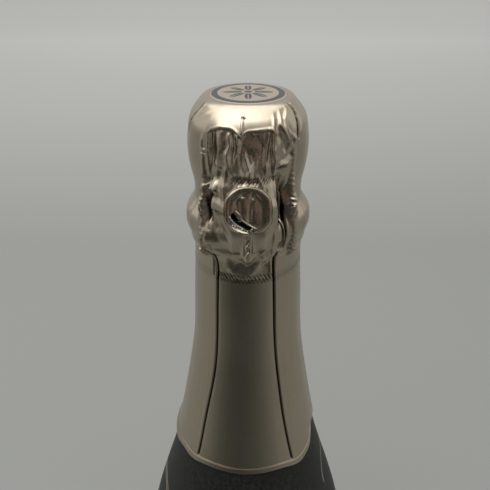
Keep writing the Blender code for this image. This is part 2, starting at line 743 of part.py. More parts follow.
def build_top_disc(finish):
    outline = [
        Vector((0, disc_under_z)),
        Vector((TOP_DISC_RADIUS, disc_under_z)),
        Vector((TOP_DISC_RADIUS, disc_top_z)),
        Vector((0, disc_top_z)),
    ]
    turned("foil_top_disc", outline, finish)


def patch_rise(across, up):
    """How far the patch's underside stands off the ring: over the loop's wire, inside it, and over the stem."""
    over_wire = BELT_WIRE_RADIUS + FOIL_STANDOFF
    away = math.hypot(across, up) / LOOP_RADIUS
    dome = max(over_wire + PATCH_SWELL * (1 - away * away), over_wire * PATCH_EDGE_SHARE)
    cover_start, cover_length = STEM_COVER_SHARES
    stem_share = min(max((-up / LOOP_RADIUS - cover_start) / cover_length, 0), 1)
    near_stem = min(max((LOOP_RADIUS - 2 * abs(across)) / (LOOP_RADIUS - 2 * TAB_HALF_WIDTH), 0), 1)
    return dome + (tail_offset + over_wire - dome) * stem_share * near_stem


def along_ring(up):
    """A point on the loop's middle line, which leans back, or below it on the upright stem."""
    leaning = max(up, -LOOP_RADIUS)
    return loop_centre + loop_up * leaning + Vector((0, 0, up - leaning))


def build_ring_patch(finish):
    """The round of foil over the pull ring, with a tab over its stem."""
    foot = loop_centre.z - hinge.z - TAB_FOOT
    outline = keyhole_outline(0) + [(-TAB_HALF_WIDTH, -foot), (TAB_HALF_WIDTH, -foot)]
    sides = []
    for lift in (FOIL, 0):
        side = []
        for share in PATCH_RINGS_SHARES:
            ring = []
            for across, up in outline:
                x, height = across * share, up * share
                place = along_ring(height) + loop_out * (patch_rise(x, height) + lift)
                ring.append(place + Vector((x, 0, 0)) - hinge)
            side.append(ring)
        sides.append(side)
    patch = lofted("foil_ring_patch", sides[0] + sides[1][::-1], finish)
    patch.location = hinge


def pleat_azimuths(z):
    share = (tear_line_z - z) / (tear_line_z - skirt_bottom_z)
    side = PLEAT_AZIMUTH_TOP + (PLEAT_AZIMUTH_BOTTOM - PLEAT_AZIMUTH_TOP) * share
    return [side, math.pi - side, math.pi + side, 2 * math.pi - side]


def build_skirt(finish):
    """The sleeve of foil on the neck: it steps out over the label, its pleats stand proud and its hem is folded."""
    top_z = tear_line_z - TEAR_GAP
    lap_z = label_top_z + CLEARANCE
    hem_z = skirt_bottom_z + HEM_HEIGHT
    heights = levels_between(top_z, lap_z + HEM_HEIGHT)
    label_lift = CLEARANCE + PAPER
    hem_lift = label_lift + HEM_PROUD
    lifts = [0.0] * len(heights) + [label_lift, label_lift, hem_lift, hem_lift]
    heights += [lap_z, hem_z, hem_z - HEM_PROUD, skirt_bottom_z]
    rings = []
    for inside in (False, True):
        side = []
        for z, lift in zip(heights, lifts):
            ring = []
            radius = glass_radius(z) + FOIL_STANDOFF + (0 if inside else FOIL)
            radius += min(lift, label_lift) if inside else lift
            corners = pleat_azimuths(z)
            half = PLEAT_HALF_WIDTH / radius
            for here, following in zip(corners, corners[1:] + [corners[0] + 2 * math.pi]):
                ring.append(polar(radius, here - half, z))
                ring.append(polar(radius + PLEAT_PROUD, here - half / 2, z))
                ring.append(polar(radius + PLEAT_PROUD, here + half / 2, z))
                steps = round((following - here) / PANEL_STEP)
                ring += [polar(radius, a, z) for a in between(here + half, following - half, steps - 1)[:-1]]
            side.append(ring)
        rings += side[::-1] if inside else side
    lofted("foil_skirt", rings, finish, closed=True)


def build_label(finish):
    outline = glass_outline(label_bottom_z, label_top_z)
    outer = offset_outline(outline, CLEARANCE + PAPER)
    inner = offset_outline(outline, CLEARANCE)
    for side in (outer, inner):
        side[0].y, side[-1].y = label_top_z, label_bottom_z
    turned("shoulder_label", outer + inner[::-1], finish)


def main():
    clear_scene()
    foil = material("foil", (0.52, 0.45, 0.33), 0.32, 1.0)
    steel = material("wire", (0.62, 0.61, 0.58), 0.35, 1.0)
    build_glass(material("glass", (0.02, 0.06, 0.025), 0.06, 0.0))
    build_cork(material("cork", (0.55, 0.38, 0.22), 0.85, 0.0), material("natural_cork", (0.62, 0.44, 0.27), 0.8, 0.0))
    build_cap(material("tinplate", (0.55, 0.47, 0.32), 0.3, 1.0))
    build_frame_wire(steel)
    build_belt_wire(steel)
    build_pull_ring(steel)
    build_hood(foil)
    build_top_disc(foil)
    build_ring_patch(foil)
    build_skirt(foil)
    build_label(material("paper", (0.02, 0.022, 0.02), 0.5, 0.0))


main()
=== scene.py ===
"""Dresses the champagne bottle: its foil, cork, wire cage, glass and label, on a plain pale floor.

Lengths in the tables are millimetres and azimuths are degrees, counted from the front (-Y) towards +X.
"""

import logging
import math
from contextlib import contextmanager
from dataclasses import dataclass, field
from enum import Enum
from typing import Any, Iterator, Optional, Sequence, Union

import bpy
import numpy as np
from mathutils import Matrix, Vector, noise
from mathutils.bvhtree import BVHTree


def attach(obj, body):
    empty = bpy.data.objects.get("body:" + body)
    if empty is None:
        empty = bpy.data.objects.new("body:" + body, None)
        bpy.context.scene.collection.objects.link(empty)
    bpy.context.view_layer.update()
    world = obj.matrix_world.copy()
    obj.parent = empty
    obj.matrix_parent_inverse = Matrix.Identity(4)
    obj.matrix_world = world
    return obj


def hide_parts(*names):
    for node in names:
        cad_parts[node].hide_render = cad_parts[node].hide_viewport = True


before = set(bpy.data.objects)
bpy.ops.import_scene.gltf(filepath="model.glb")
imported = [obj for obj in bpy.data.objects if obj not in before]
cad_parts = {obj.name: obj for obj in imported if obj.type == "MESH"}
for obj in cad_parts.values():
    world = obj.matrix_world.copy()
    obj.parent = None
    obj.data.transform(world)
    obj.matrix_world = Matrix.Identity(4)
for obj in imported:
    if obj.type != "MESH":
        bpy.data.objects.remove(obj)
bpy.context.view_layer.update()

MM = 0.001
DEGREE = math.radians(1)
HEAD_RADIUS = 16.3  # the foil's radius round the cork's head, which turns degrees into millimetres
LEFT_REST, RIGHT_REST = -36.0, 31.0  # the columns that follow the two front pleats
LAP_HEIGHT, LAP_EDGE = 0.32, 0.16  # how proud a side panel's edge stands, and how wide the step is
GROOVE_PLACE, GROOVE_WIDTH = 0.30, 0.28  # the groove beside that step
SHADE_LINE_WIDTH = 0.27  # the painted shade line in the groove
Piece = bpy.types.Object
Material = bpy.types.Material
Colour = tuple[float, float, float]
Place = tuple[float, float, float]
Span = tuple[float, float, float]  # low, high and the ramp beyond either
Outline = Sequence[tuple[float, float]]
Grid = np.ndarray
log = logging.getLogger("champagne_bottle")


# Shader tools


class Socket:
    """An output of a shader node; arithmetic on it adds Math nodes."""

    def __init__(self, paint: "Paint", output: bpy.types.NodeSocket) -> None:
        """Keep the output and the material that it belongs to."""
        self.paint = paint
        self.output = output

    def math(self, operation: str, *others: "Value") -> "Socket":
        """Combine this value with others.

        Args:
            operation: a Math node's operation.
            others: the values of its further sockets.

        Returns:
            The node's output.
        """
        return self.paint.math(operation, self, *others)

    def __add__(self, other: "Value") -> "Socket":
        """Add."""
        return self.math("ADD", other)

    def __radd__(self, other: float) -> "Socket":
        """Add to a number."""
        return self.math("ADD", other)

    def __sub__(self, other: "Value") -> "Socket":
        """Subtract."""
        return self.math("SUBTRACT", other)

    def __rsub__(self, other: float) -> "Socket":
        """Subtract from a number."""
        return self.paint.math("SUBTRACT", other, self)

    def __mul__(self, other: "Value") -> "Socket":
        """Multiply."""
        return self.math("MULTIPLY", other)

    def __rmul__(self, other: float) -> "Socket":
        """Multiply a number."""
        return self.math("MULTIPLY", other)

    def __truediv__(self, other: "Value") -> "Socket":
        """Divide."""
        return self.math("DIVIDE", other)

    def __neg__(self) -> "Socket":
        """Change the sign."""
        return self.math("MULTIPLY", -1.0)

    def __abs__(self) -> "Socket":
        """Drop the sign."""
        return self.math("ABSOLUTE")

    def fade(self, start: float, end: float) -> "Socket":
        """Go smoothly from 0 at start to 1 at end.

        Args:
            start: the value that gives 0.
            end: the value that gives 1; it may be the lower one.

        Returns:
            The faded value.
        """
        if start > end:
            return 1 - self.fade(end, start)
        settings = {"interpolation_type": "SMOOTHSTEP"}
        sockets = {"Value": self, "From Min": start, "From Max": end}
        return self.paint.node("ShaderNodeMapRange", settings, sockets).pick("Result")

    def band(self, centre: float, half_width: float, soft: float) -> "Socket":
        """Be 1 within half_width of a centre and 0 a little beyond it.

        Args:
            centre: the middle of the band.
            half_width: how far the full value reaches.
            soft: how far the value fades beyond that.

        Returns:
            The band's value.
        """
        return abs(self - centre).fade(half_width + soft, half_width)


Value = Union[Socket, float]


class MadeNode:
    """A shader node whose outputs are picked by name."""

    def __init__(self, paint: "Paint", node: bpy.types.Node) -> None:
        """Keep the node and its material."""
        self.paint = paint
        self.node = node

    def pick(self, name: Union[str, int] = 0) -> Socket:
        """The output of that name or number, as a Socket."""
        return Socket(self.paint, self.node.outputs[name])


class Paint:
    """A procedural material that is built up in code."""

    def __init__(self, name: str) -> None:
        """Start a material with its Principled shader.

        Args:
            name: the material's name.
        """
        self.material = bpy.data.materials.new(name)
        self.material.use_nodes = True
        self.tree = self.material.node_tree
        self.shader = self.tree.nodes["Principled BSDF"]

    def node(
        self,
        kind: str,
        settings: Optional[dict[str, Any]] = None,
        sockets: Optional[dict[Union[str, int], Any]] = None,
        stops: Optional[Sequence[tuple[float, Colour]]] = None,
    ) -> MadeNode:
        """Add a node.

        Args:
            kind: the node's type.
            settings: its own settings, which are set first.
            sockets: values or links for its inputs, by name or number.
            stops: a colour ramp's places and colours.

        Returns:
            The node.
        """
        made = self.tree.nodes.new(kind)
        for key, value in (settings or {}).items():
            setattr(made, key, value)
        if stops:
            ramp = made.color_ramp
            while len(ramp.elements) < len(stops):
                ramp.elements.new(0.5)
            for element, (place, colour) in zip(ramp.elements, stops):
                element.position = place
                element.color = (*colour, 1)
        for key, value in (sockets or {}).items():
            self.join(value, made.inputs[key])
        return MadeNode(self, made)

    def join(self, value: Any, target: bpy.types.NodeSocket) -> None:
        """Link a Socket to an input, or set a constant on it."""
        if isinstance(value, Socket):
            self.tree.links.new(value.output, target)
        else:
            target.default_value = value

    def math(self, operation: str, *values: Value) -> Socket:
        """Add a Math node of that operation on the values."""
        return self.node("ShaderNodeMath", {"operation": operation}, dict(enumerate(values))).pick()

    def set(self, **sockets: Any) -> None:
        """Set the shader's own inputs; an underscore in a name stands for a space."""
        for key, value in sockets.items():
            self.join(value, self.shader.inputs[key.replace("_", " ")])

    def place(self, scale: float = 1 / MM) -> Socket:
        """The object coordinates, in millimetres unless another scale is given."""
        sockets = {0: self.node("ShaderNodeTexCoord").pick("Object"), "Scale": scale}
        return self.node("ShaderNodeVectorMath", {"operation": "SCALE"}, sockets).pick()

    def split(self, vector: Socket) -> tuple[Socket, Socket, Socket]:
        """The three values of a vector."""
        made = self.node("ShaderNodeSeparateXYZ", None, {0: vector})
        return made.pick("X"), made.pick("Y"), made.pick("Z")

    def vector(self, x: Any, y: Any, z: Any) -> Socket:
        """A vector of three values."""
        return self.node("ShaderNodeCombineXYZ", None, {"X": x, "Y": y, "Z": z}).pick()

    def azimuth(self, x: Socket, y: Socket) -> Socket:
        """The azimuth in degrees from the front."""
        return self.math("ARCTAN2", x, -y) * math.degrees(1)

    def noise(self, place: Socket, scale: float, detail: float = 3.0, rough: float = 0.55) -> Socket:
        """Noise from 0 to 1 at a place, with features of about 1 / scale."""
        sockets = {"Vector": place, "Scale": scale, "Detail": detail, "Roughness": rough}
        return self.node("ShaderNodeTexNoise", None, sockets).pick(0)

    def attribute(self, name: str) -> Socket:
        """A value that is stored on the piece's points."""
        return self.node("ShaderNodeAttribute", {"attribute_name": name}).pick("Fac")

    def mix(self, factor: Any, first: Any, second: Any) -> Socket:
        """Mix two colours, each a Socket or a triple."""
        pair = [c if isinstance(c, Socket) else (*c, 1) for c in (first, second)]
        sockets = {0: factor, 6: pair[0], 7: pair[1]}
        return self.node("ShaderNodeMix", {"data_type": "RGBA"}, sockets).pick(2)

    def bump(self, height: Socket, depth: float, strength: float = 1.0) -> Socket:
        """The surface's normal, disturbed by a height.

        Args:
            height: a value about 0 to 1.
            depth: the height of 1, in millimetres.
            strength: the share of the effect.

        Returns:
            The normal.
        """
        sockets = {"Height": height, "Distance": depth * MM, "Strength": strength}
        return self.node("ShaderNodeBump", None, sockets).pick("Normal")


# Finishes


@dataclass(frozen=True)
class FoilFinish:
    """Champagne-gold foil: satin where it lies smooth and bright where it is crumpled, darkened by painted shade in
    its creases, grooves and cuts.
    """

    name: str = "gold_foil"
    colour: Colour = (0.428, 0.373, 0.288)
    # dark is the colour of painted shade, laid in creases, lap grooves, notches, cut slits, the vent and along the
    # ring patch's edge
    dark: Colour = (0.012, 0.010, 0.008)
    rose: Colour = (0.405, 0.33, 0.243)
    satin_roughness: float = 0.30
    crumpled_roughness: float = 0.27

    def paint(self) -> Material:
        """Build the material.

        Returns:
            The foil's material.
        """
        paint = Paint(self.name)
        place = paint.place()
        x, y, z = paint.split(place)
        azimuth = paint.azimuth(x, y)
        drawn = paint.vector(azimuth * 0.9, z * 0.035, 0.0)
        streaks = paint.noise(drawn, 0.55, 4.0, 0.6)
        blotches = paint.noise(place, 0.16, 3.0)
        grain = paint.noise(place, 5.0, 2.0, 0.5)
        crumpled = paint.attribute("crumple")
        cut = paint.attribute("cut")
        # the seam value is painted shade in creases, lap grooves, notches, the vent and along the ring patch's edge
        seam = paint.attribute("seam")
        neck = 0.25 + z.fade(296.0, 274.0) * 0.75
        warm = streaks.fade(0.46, 0.66) * 0.5 * neck + blotches.fade(0.5, 0.72) * 0.4
        colour = paint.mix(paint.math("MINIMUM", warm, 1.0), self.colour, self.rose)
        # painted shade: the foil is darkened by the seam value and in the cut slits
        colour = paint.mix(paint.math("MINIMUM", seam + cut * 0.8, 1.0), colour, self.dark)
        rough = self.satin_roughness + (self.crumpled_roughness - self.satin_roughness) * crumpled
        rough = rough + (streaks - 0.5) * 0.10 + (grain - 0.5) * 0.05
        relief = streaks * 0.45 * neck + grain * 0.16
        paint.set(Base_Color=colour, Metallic=1.0, Roughness=rough, Normal=paint.bump(relief, 0.10, 0.5))
        return paint.material


@dataclass(frozen=True)
class DiscFinish:
    """The top's foil with a dark printed rosette in a ring."""

    name: str = "disc_foil"
    colour: Colour = (0.56, 0.49, 0.375)
    ink: Colour = (0.045, 0.046, 0.050)
    ring_radius: float = 8.75
    ring_half_width: float = 0.75
    petals: int = 8
    petal_reach: float = 6.6

    def paint(self) -> Material:
        """Build the material.

        Returns:
            The disc's material.
        """
        paint = Paint(self.name)
        place = paint.place()
        x, y, _ = paint.split(place)
        radius = paint.math("SQRT", x * x + y * y)
        turn = paint.math("ARCTAN2", x, -y) * (self.petals / 2)
        petal = abs(paint.math("COSINE", turn)) * self.petal_reach
        inside = (petal - radius).fade(-0.12, 0.12) * radius.fade(1.7, 1.9)
        vein = abs(paint.math("SINE", turn)).fade(0.07, 0.12)
        ring = radius.band(self.ring_radius, self.ring_half_width, 0.12)
        eye = radius.band(0.0, 1.0, 0.12)
        print_mask = paint.math("MINIMUM", ring + inside * vein + eye, 1.0)
        blotches = paint.noise(place, 0.22, 3.0)
        grain = paint.noise(place, 4.0, 2.0)
        foil = paint.mix(blotches.fade(0.4, 0.7) * 0.5, self.colour, (0.52, 0.44, 0.34))
        colour = paint.mix(print_mask, foil, self.ink)
        rough = 0.30 + blotches * 0.08 + print_mask * 0.15
        normal = paint.bump(grain * 0.3 + blotches, 0.1, 0.4)
        paint.set(Base_Color=colour, Metallic=1 - print_mask * 0.85, Roughness=rough, Normal=normal)
        return paint.material


@dataclass(frozen=True)
class LabelFinish:
    """Dark mottled paper with thin gold lines and lozenges."""

    name: str = "label_paper"
    dark: Colour = (0.0018, 0.0022, 0.0018)
    light: Colour = (0.019, 0.0208, 0.0185)
    gold: Colour = (0.30, 0.26, 0.19)
    line_heights: tuple[float, float] = (166.0, 163.5)
    lozenge_height: float = 187.0
    arcs: tuple[Place, ...] = ((-82.0, 171.0, 8.5), (-82.0, 171.0, 10.0), (88.0, 183.0, 9.0))

    def paint(self) -> Material:
        """Build the material.

        Returns:
            The label's material.
        """
        paint = Paint(self.name)
        place = paint.place()
        x, y, z = paint.split(place)
        azimuth = paint.azimuth(x, y)
        mottle = paint.noise(place, 0.9, 4.0, 0.7)
        speck = paint.noise(place, 3.5, 2.0)
        colour = paint.mix((mottle * 0.5 + speck * 0.5).fade(0.38, 0.66), self.dark, self.light)
        lines = z.band(self.line_heights[0], 0.22, 0.1) + z.band(self.line_heights[1], 0.5, 0.1)
        cell = paint.math("PINGPONG", azimuth + 3.5, 3.5)
        reach = abs(z - self.lozenge_height) * 0.75 + cell * 0.9
        lozenge = reach.fade(1.3, 1.1) * reach.fade(0.55, 0.7) * azimuth.band(0.0, 50.0, 1.0)
        gold = lines + lozenge
        for turn, height, size in self.arcs:
            across = (azimuth - turn) * 0.5
            up = z - height
            away = paint.math("SQRT", across * across + up * up)
            gold = gold + away.band(size, 0.3, 0.15) * up.fade(-1.5, 1.0)
        gold = paint.math("MINIMUM", gold, 1.0)
        colour = paint.mix(gold, colour, self.gold)
        rough = 0.48 + mottle * 0.16 - gold * 0.12
        relief = mottle * 0.5 + speck * 0.3 + gold * 0.5
        paint.set(Base_Color=colour, Metallic=gold * 0.8, Roughness=rough, Normal=paint.bump(relief, 0.06, 0.5))
        paint.set(Specular_IOR_Level=0.27)
        return paint.material


@dataclass(frozen=True)
class GlassFinish:
    """Dark green glass, smooth and polished."""

    name: str = "dark_glass"
    colour: Colour = (0.010, 0.030, 0.012)
    roughness: float = 0.05

    def paint(self) -> Material:
        """Build the material.

        Returns:
            The glass's material.
        """
        paint = Paint(self.name)
        place = paint.place()
        x, y, z = paint.split(place)
        smear = paint.noise(place, 0.05, 4.0, 0.6)
        wave = paint.noise(paint.vector(x, y, z * 0.3), 0.035, 1.0)
        rough = self.roughness + smear.fade(0.5, 0.8) * 0.07
        tone = paint.mix(smear.fade(0.3, 0.7), self.colour, (0.014, 0.038, 0.016))
        paint.set(Base_Color=tone, Roughness=rough, Normal=paint.bump(wave, 0.5, 0.3))
        paint.set(IOR=1.52, Transmission_Weight=0.25)
        return paint.material


@dataclass(frozen=True)
class CorkFinish:
    """Cork: pressed granules, or one plain piece with pores."""

    name: str
    light: Colour = (0.56, 0.38, 0.21)
    dark: Colour = (0.25, 0.14, 0.065)
    granule: float = 0.42
    pore: float = 0.5

    def paint(self) -> Material:
        """Build the material.

        Returns:
            The cork's material.
        """
        paint = Paint(self.name)
        place = paint.place()
        sockets = {"Vector": place, "Scale": self.granule}
        cell = paint.node("ShaderNodeTexVoronoi", {"feature": "F1"}, sockets)
        edge = paint.node("ShaderNodeTexVoronoi", {"feature": "DISTANCE_TO_EDGE"}, sockets).pick("Distance")
        tone = paint.node("ShaderNodeSeparateXYZ", None, {0: cell.pick("Color")}).pick("X")
        pores = paint.noise(place, self.pore, 5.0, 0.65)
        colour = paint.mix(tone * 0.35 + pores.fade(0.52, 0.72) * 0.6, self.light, self.dark)
        colour = paint.mix(edge.fade(0.06, 0.0) * 0.55, colour, self.dark)
        relief = pores.fade(0.7, 0.4) + edge.fade(0.0, 0.08) * 0.4
        paint.set(Base_Color=colour, Roughness=0.75 + tone * 0.15, Normal=paint.bump(relief, 0.12, 0.6))
        return paint.material


@dataclass(frozen=True)
class MetalFinish:
    """Bare or lacquered metal with fine drawing marks."""

    name: str
    colour: Colour
    worn: Colour
    roughness: float = 0.28

    def paint(self) -> Material:
        """Build the material.

        Returns:
            The metal's material.
        """
        paint = Paint(self.name)
        place = paint.place()
        marks = paint.noise(place, 1.6, 4.0, 0.65)
        stain = paint.noise(place, 0.25, 3.0)
        colour = paint.mix(stain.fade(0.45, 0.75) * 0.7 + marks.fade(0.6, 0.8) * 0.3, self.colour, self.worn)
        rough = self.roughness + (marks - 0.5) * 0.2
        paint.set(Base_Color=colour, Metallic=1.0, Roughness=rough, Normal=paint.bump(marks, 0.04, 0.5))
        return paint.material


# Modelling tools


def deselect() -> None:
    """Leave edit mode and deselect every object."""
    if bpy.context.mode != "OBJECT":
        bpy.ops.object.mode_set(mode="OBJECT")
    bpy.ops.object.select_all(action="DESELECT")


def activate(piece: Piece) -> None:
    """Make a piece the only selected and the active object."""
    deselect()
    piece.select_set(True)
    bpy.context.view_layer.objects.active = piece


def settle(piece: Piece, name: str) -> Piece:
    """Name a piece and move its place into its mesh.

    Args:
        piece: the object.
        name: its name.

    Returns:
        The object.
    """
    activate(piece)
    bpy.ops.object.transform_apply(location=True, rotation=True, scale=True)
    piece.name = name
    piece.data.name = name
    return piece


def apply(piece: Piece, kind: str, **settings: Any) -> None:
    """Add a modifier with settings and apply it.

    Args:
        piece: the object.
        kind: the modifier's type.
        settings: its settings by name.
    """
    activate(piece)
    modifier = piece.modifiers.new(kind.title(), kind)
    for key, value in settings.items():
        setattr(modifier, key, value)
    bpy.ops.object.modifier_apply(modifier=modifier.name)


@contextmanager
def editing(piece: Piece, kind: str = "VERT", chosen: Optional[Grid] = None) -> Iterator[None]:
    """Edit a piece with all of it selected, or only some of its edges or faces.

    Args:
        piece: the object.
        kind: what is selected: VERT, EDGE or FACE.
        chosen: for each edge or face, whether it is selected.

    Yields:
        Nothing, while the piece is in edit mode.
    """
    activate(piece)
    bpy.ops.object.mode_set(mode="EDIT")
    bpy.ops.mesh.select_mode(type=kind)
    bpy.ops.mesh.select_all(action="SELECT" if chosen is None else "DESELECT")
    if chosen is not None:
        bpy.ops.object.mode_set(mode="OBJECT")
        members = piece.data.edges if kind == "EDGE" else piece.data.polygons
        members.foreach_set("select", chosen)
        bpy.ops.object.mode_set(mode="EDIT")
    yield
    bpy.ops.mesh.select_mode(type="VERT")
    bpy.ops.object.mode_set(mode="OBJECT")


def turned(name: str, stations: Outline, columns: int) -> Piece:
    """Turn a sheet or a closed body through stations, one ring after another.

    Args:
        name: the piece's name.
        stations: (radius, height) in millimetres; a radius of 0 at an end closes that end in a pole.
        columns: points round each ring.

    Returns:
        The piece, with its place in its mesh.
    """
    deselect()
    starts_closed = stations[0][0] == 0
    points = list(stations)[int(starts_closed) :]
    radius, height = points[0]
    place = (0, 0, height * MM)
    bpy.ops.mesh.primitive_circle_add(vertices=columns, radius=radius * MM, fill_type="NOTHING", location=place)
    piece = settle(bpy.context.object, name)
    with editing(piece):
        for next_radius, next_height in points[1:]:
            bpy.ops.mesh.extrude_region()
            bpy.ops.transform.translate(value=(0, 0, (next_height - height) * MM))
            if next_radius == 0:
                bpy.ops.mesh.merge(type="CENTER")
                break
            share = next_radius / radius
            bpy.ops.transform.resize(value=(share, share, 1), center_override=(0, 0, next_height * MM))
            radius, height = next_radius, next_height
    if starts_closed:
        close_ring(piece, points[0][1], stations[0][1])
    return piece


def close_ring(piece: Piece, height: float, pole: float) -> None:
    """Close the open ring at a height with a pole.

    Args:
        piece: the turned sheet.
        height: the open ring's height in millimetres.
        pole: the pole's height in millimetres.
    """
    mesh = piece.data
    faces_beside = np.bincount(whole_numbers(mesh.loops, "edge_index"), minlength=len(mesh.edges))
    ends = points_of(piece)[whole_numbers(mesh.edges, "vertices", 2), 2].reshape(-1, 2)
    open_ring = (faces_beside == 1) & (np.abs(ends - height) < 1e-3).all(axis=1)
    with editing(piece, "EDGE", open_ring):
        bpy.ops.mesh.extrude_region()
        bpy.ops.transform.translate(value=(0, 0, (pole - height) * MM))
        bpy.ops.mesh.merge(type="CENTER")


def recalculate(piece: Piece) -> None:
    """Point all faces of a closed piece outwards."""
    with editing(piece):
        bpy.ops.mesh.normals_make_consistent(inside=False)


def whole_numbers(members: Any, name: str, each: int = 1) -> Grid:
    """One value, or a few, of each of a mesh's edges, faces or corners.

    Args:
        members: the mesh's edges, faces or corners.
        name: the value's name.
        each: how many numbers the value has.

    Returns:
        The values in one row.
    """
    values = np.empty(len(members) * each, int)
    members.foreach_get(name, values)
    return values


def points_of(piece: Piece) -> Grid:
    """The piece's points in millimetres, one row each.

    Args:
        piece: the object.

    Returns:
        The points' places.
    """
    flat = np.empty(len(piece.data.vertices) * 3)
    piece.data.vertices.foreach_get("co", flat)
    return flat.reshape(-1, 3) / MM


def move_points(piece: Piece, points: Grid) -> None:
    """Put the piece's points at new places, given in millimetres."""
    piece.data.vertices.foreach_set("co", (points * MM).ravel())
    piece.data.update()


def polar(points: Grid) -> tuple[Grid, Grid]:
    """The radius in millimetres and the azimuth in degrees of points."""
    return np.hypot(points[:, 0], points[:, 1]), np.degrees(np.arctan2(points[:, 0], -points[:, 1]))


def push_out(points: Grid, radius: Grid, rise: Grid) -> None:
    """Move points at a radius away from the bottle's axis by a rise, in place."""
    points[:, :2] *= (1 + rise / np.maximum(radius, 1e-6))[:, None]


def off_leg(azimuth: Grid) -> Grid:
    """Degrees to the nearest of the cage's four legs, which stand at 45 degrees and its odd multiples."""
    return np.abs(azimuth % 90 - 45)


def cut_away(piece: Piece, gone: Grid) -> None:
    """Delete the faces all of whose points are gone.

    Args:
        piece: the object.
        gone: for each point, whether it is gone.
    """
    corners = whole_numbers(piece.data.loops, "vertex_index")
    starts = whole_numbers(piece.data.polygons, "loop_start")
    with editing(piece, "FACE", np.logical_and.reduceat(gone[corners], starts)):
        bpy.ops.mesh.delete(type="FACE")


def store(piece: Piece, finish: dict[str, Grid]) -> None:
    """Store values for each point by name, for a material to read.

    Args:
        piece: the object.
        finish: the values by name, each from 0 to 1.
    """
    for name, values in finish.items():
        layer = piece.data.attributes.new(name, "FLOAT", "POINT")
        layer.data.foreach_set("value", np.clip(values, 0, 1).astype(np.float32))


def dress(piece: Piece, material: Material) -> None:
    """Give a piece one material."""
    piece.data.materials.clear()
    piece.data.materials.append(material)


def thicken(piece: Piece, wall: float) -> None:
    """Give a sheet its thickness in millimetres, inwards."""
    apply(piece, "SOLIDIFY", thickness=wall * MM, offset=-1)


def hand_in(piece: Piece, material: Material, node: str, slot: str, body: str, sharp: float) -> Piece:
    """Shade and dress a finished piece, hide the CAD node that it replaces and attach it to its body.

    Args:
        piece: the finished piece.
        material: its material.
        node: the CAD node that it replaces.
        slot: the material slot of the record; not used.
        body: the body that it rides on.
        sharp: the angle in degrees past which an edge stays sharp.

    Returns:
        The piece.
    """
    activate(piece)
    bpy.ops.object.shade_smooth_by_angle(angle=math.radians(sharp))
    dress(piece, material)
    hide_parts(node)
    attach(piece, body)
    return piece


def ease(share: Grid) -> Grid:
    """Smooth a share that runs from 0 to 1."""
    held = np.clip(share, 0, 1)
    return held * held * (3 - 2 * held)


def window(values: Grid, low: float, high: float, ramp: float) -> Grid:
    """1 between low and high, falling smoothly to 0 over a ramp beyond either."""
    return ease((values - low) / ramp + 1) * ease((high - values) / ramp + 1)


def bell(values: Grid, width: float, power: int = 2) -> Grid:
    """1 at 0, falling smoothly towards 0 on both sides; a higher power gives a flatter top."""
    return np.exp(-((values / width) ** power))


def flowing(line: Outline, values: Grid, flat_ends: bool = False) -> Grid:
    """A smooth curve through points.

    Args:
        line: (place, value) pairs in order of place.
        values: the places to read it at.
        flat_ends: whether the curve ends level.

    Returns:
        The curve's value at each place.
    """
    xs, ys = np.array(line, float).T
    slopes = np.empty(len(xs))
    slopes[1:-1] = (ys[2:] - ys[:-2]) / (xs[2:] - xs[:-2])
    slopes[0] = 0 if flat_ends else (ys[1] - ys[0]) / (xs[1] - xs[0])
    slopes[-1] = 0 if flat_ends else (ys[-1] - ys[-2]) / (xs[-1] - xs[-2])
    k = np.clip(np.searchsorted(xs, values) - 1, 0, len(xs) - 2)
    span = xs[k + 1] - xs[k]
    t = np.clip((values - xs[k]) / span, 0, 1)
    start = (2 * t**3 - 3 * t**2 + 1) * ys[k] + (t**3 - 2 * t**2 + t) * span * slopes[k]
    return start + (3 * t**2 - 2 * t**3) * ys[k + 1] + (t**3 - t**2) * span * slopes[k + 1]


def turn_xy(radius: Grid, azimuth: Grid, height: Grid) -> Grid:
    """Points at a radius, an azimuth in degrees and a height."""
    angle = np.radians(azimuth)
    return np.stack([radius * np.sin(angle), -radius * np.cos(angle), height], axis=-1)


def noise_at(places: Grid) -> Grid:
    """Noise from about -1 to 1 at each place."""
    return np.array([noise.noise(Vector(place)) for place in places.reshape(-1, 3)]).reshape(places.shape[:-1])


def wavy(azimuth: Grid, height: Grid, scale: float, seed: float, stretch: float = 1.0) -> Grid:
    """Seamless noise from about -1 to 1 over the bottle's side.

    Args:
        azimuth: degrees.
        height: millimetres.
        scale: the size of a feature in millimetres.
        seed: which noise.
        stretch: how much longer the features are upwards than across.

    Returns:
        The noise at each point.
    """
    return noise_at(turn_xy(np.full_like(azimuth, HEAD_RADIUS), azimuth, height / stretch) / scale + seed)


def soft_max(first: Grid, second: Grid, blend: float) -> Grid:
    """The larger of two, rounded where they meet."""
    share = np.clip(0.5 + (first - second) / (2 * blend), 0, 1)
    return second + (first - second) * share + blend * share * (1 - share)


def spread(places: Grid, density: Grid, share: Grid) -> Grid:
    """Places that lie closer together where the density is higher.

    Args:
        places: places from one end to the other.
        density: the density between each and the next, times the way between them.
        share: shares of the result's run, from 0 to 1.

    Returns:
        The place at each share.
    """
    reach = np.concatenate([[0], np.cumsum(density)])
    return np.interp(share, reach / reach[-1], places)


def spread_round(share: Grid, front: tuple[float, float], folds: Sequence[float], fold: tuple[float, float]) -> Grid:
    """Azimuths at shares of the way round, closer together at the front and along folds.

    Args:
        share: shares of the way round, from the back over the left.
        front: half the front's width in degrees, and the density that it adds.
        folds: the azimuths of the folds.
        fold: the width of a fold's dense strip in degrees, and the density that it adds.

    Returns:
        The azimuth at each share.
    """
    azimuth = np.linspace(-180, 180, 2881)
    density = 1 + front[1] * window(azimuth, -front[0], front[0], 12)
    for place in folds:
        density = density + fold[1] * bell(azimuth - place, fold[0])
    return spread(azimuth, (density[1:] + density[:-1]) / 2, share)


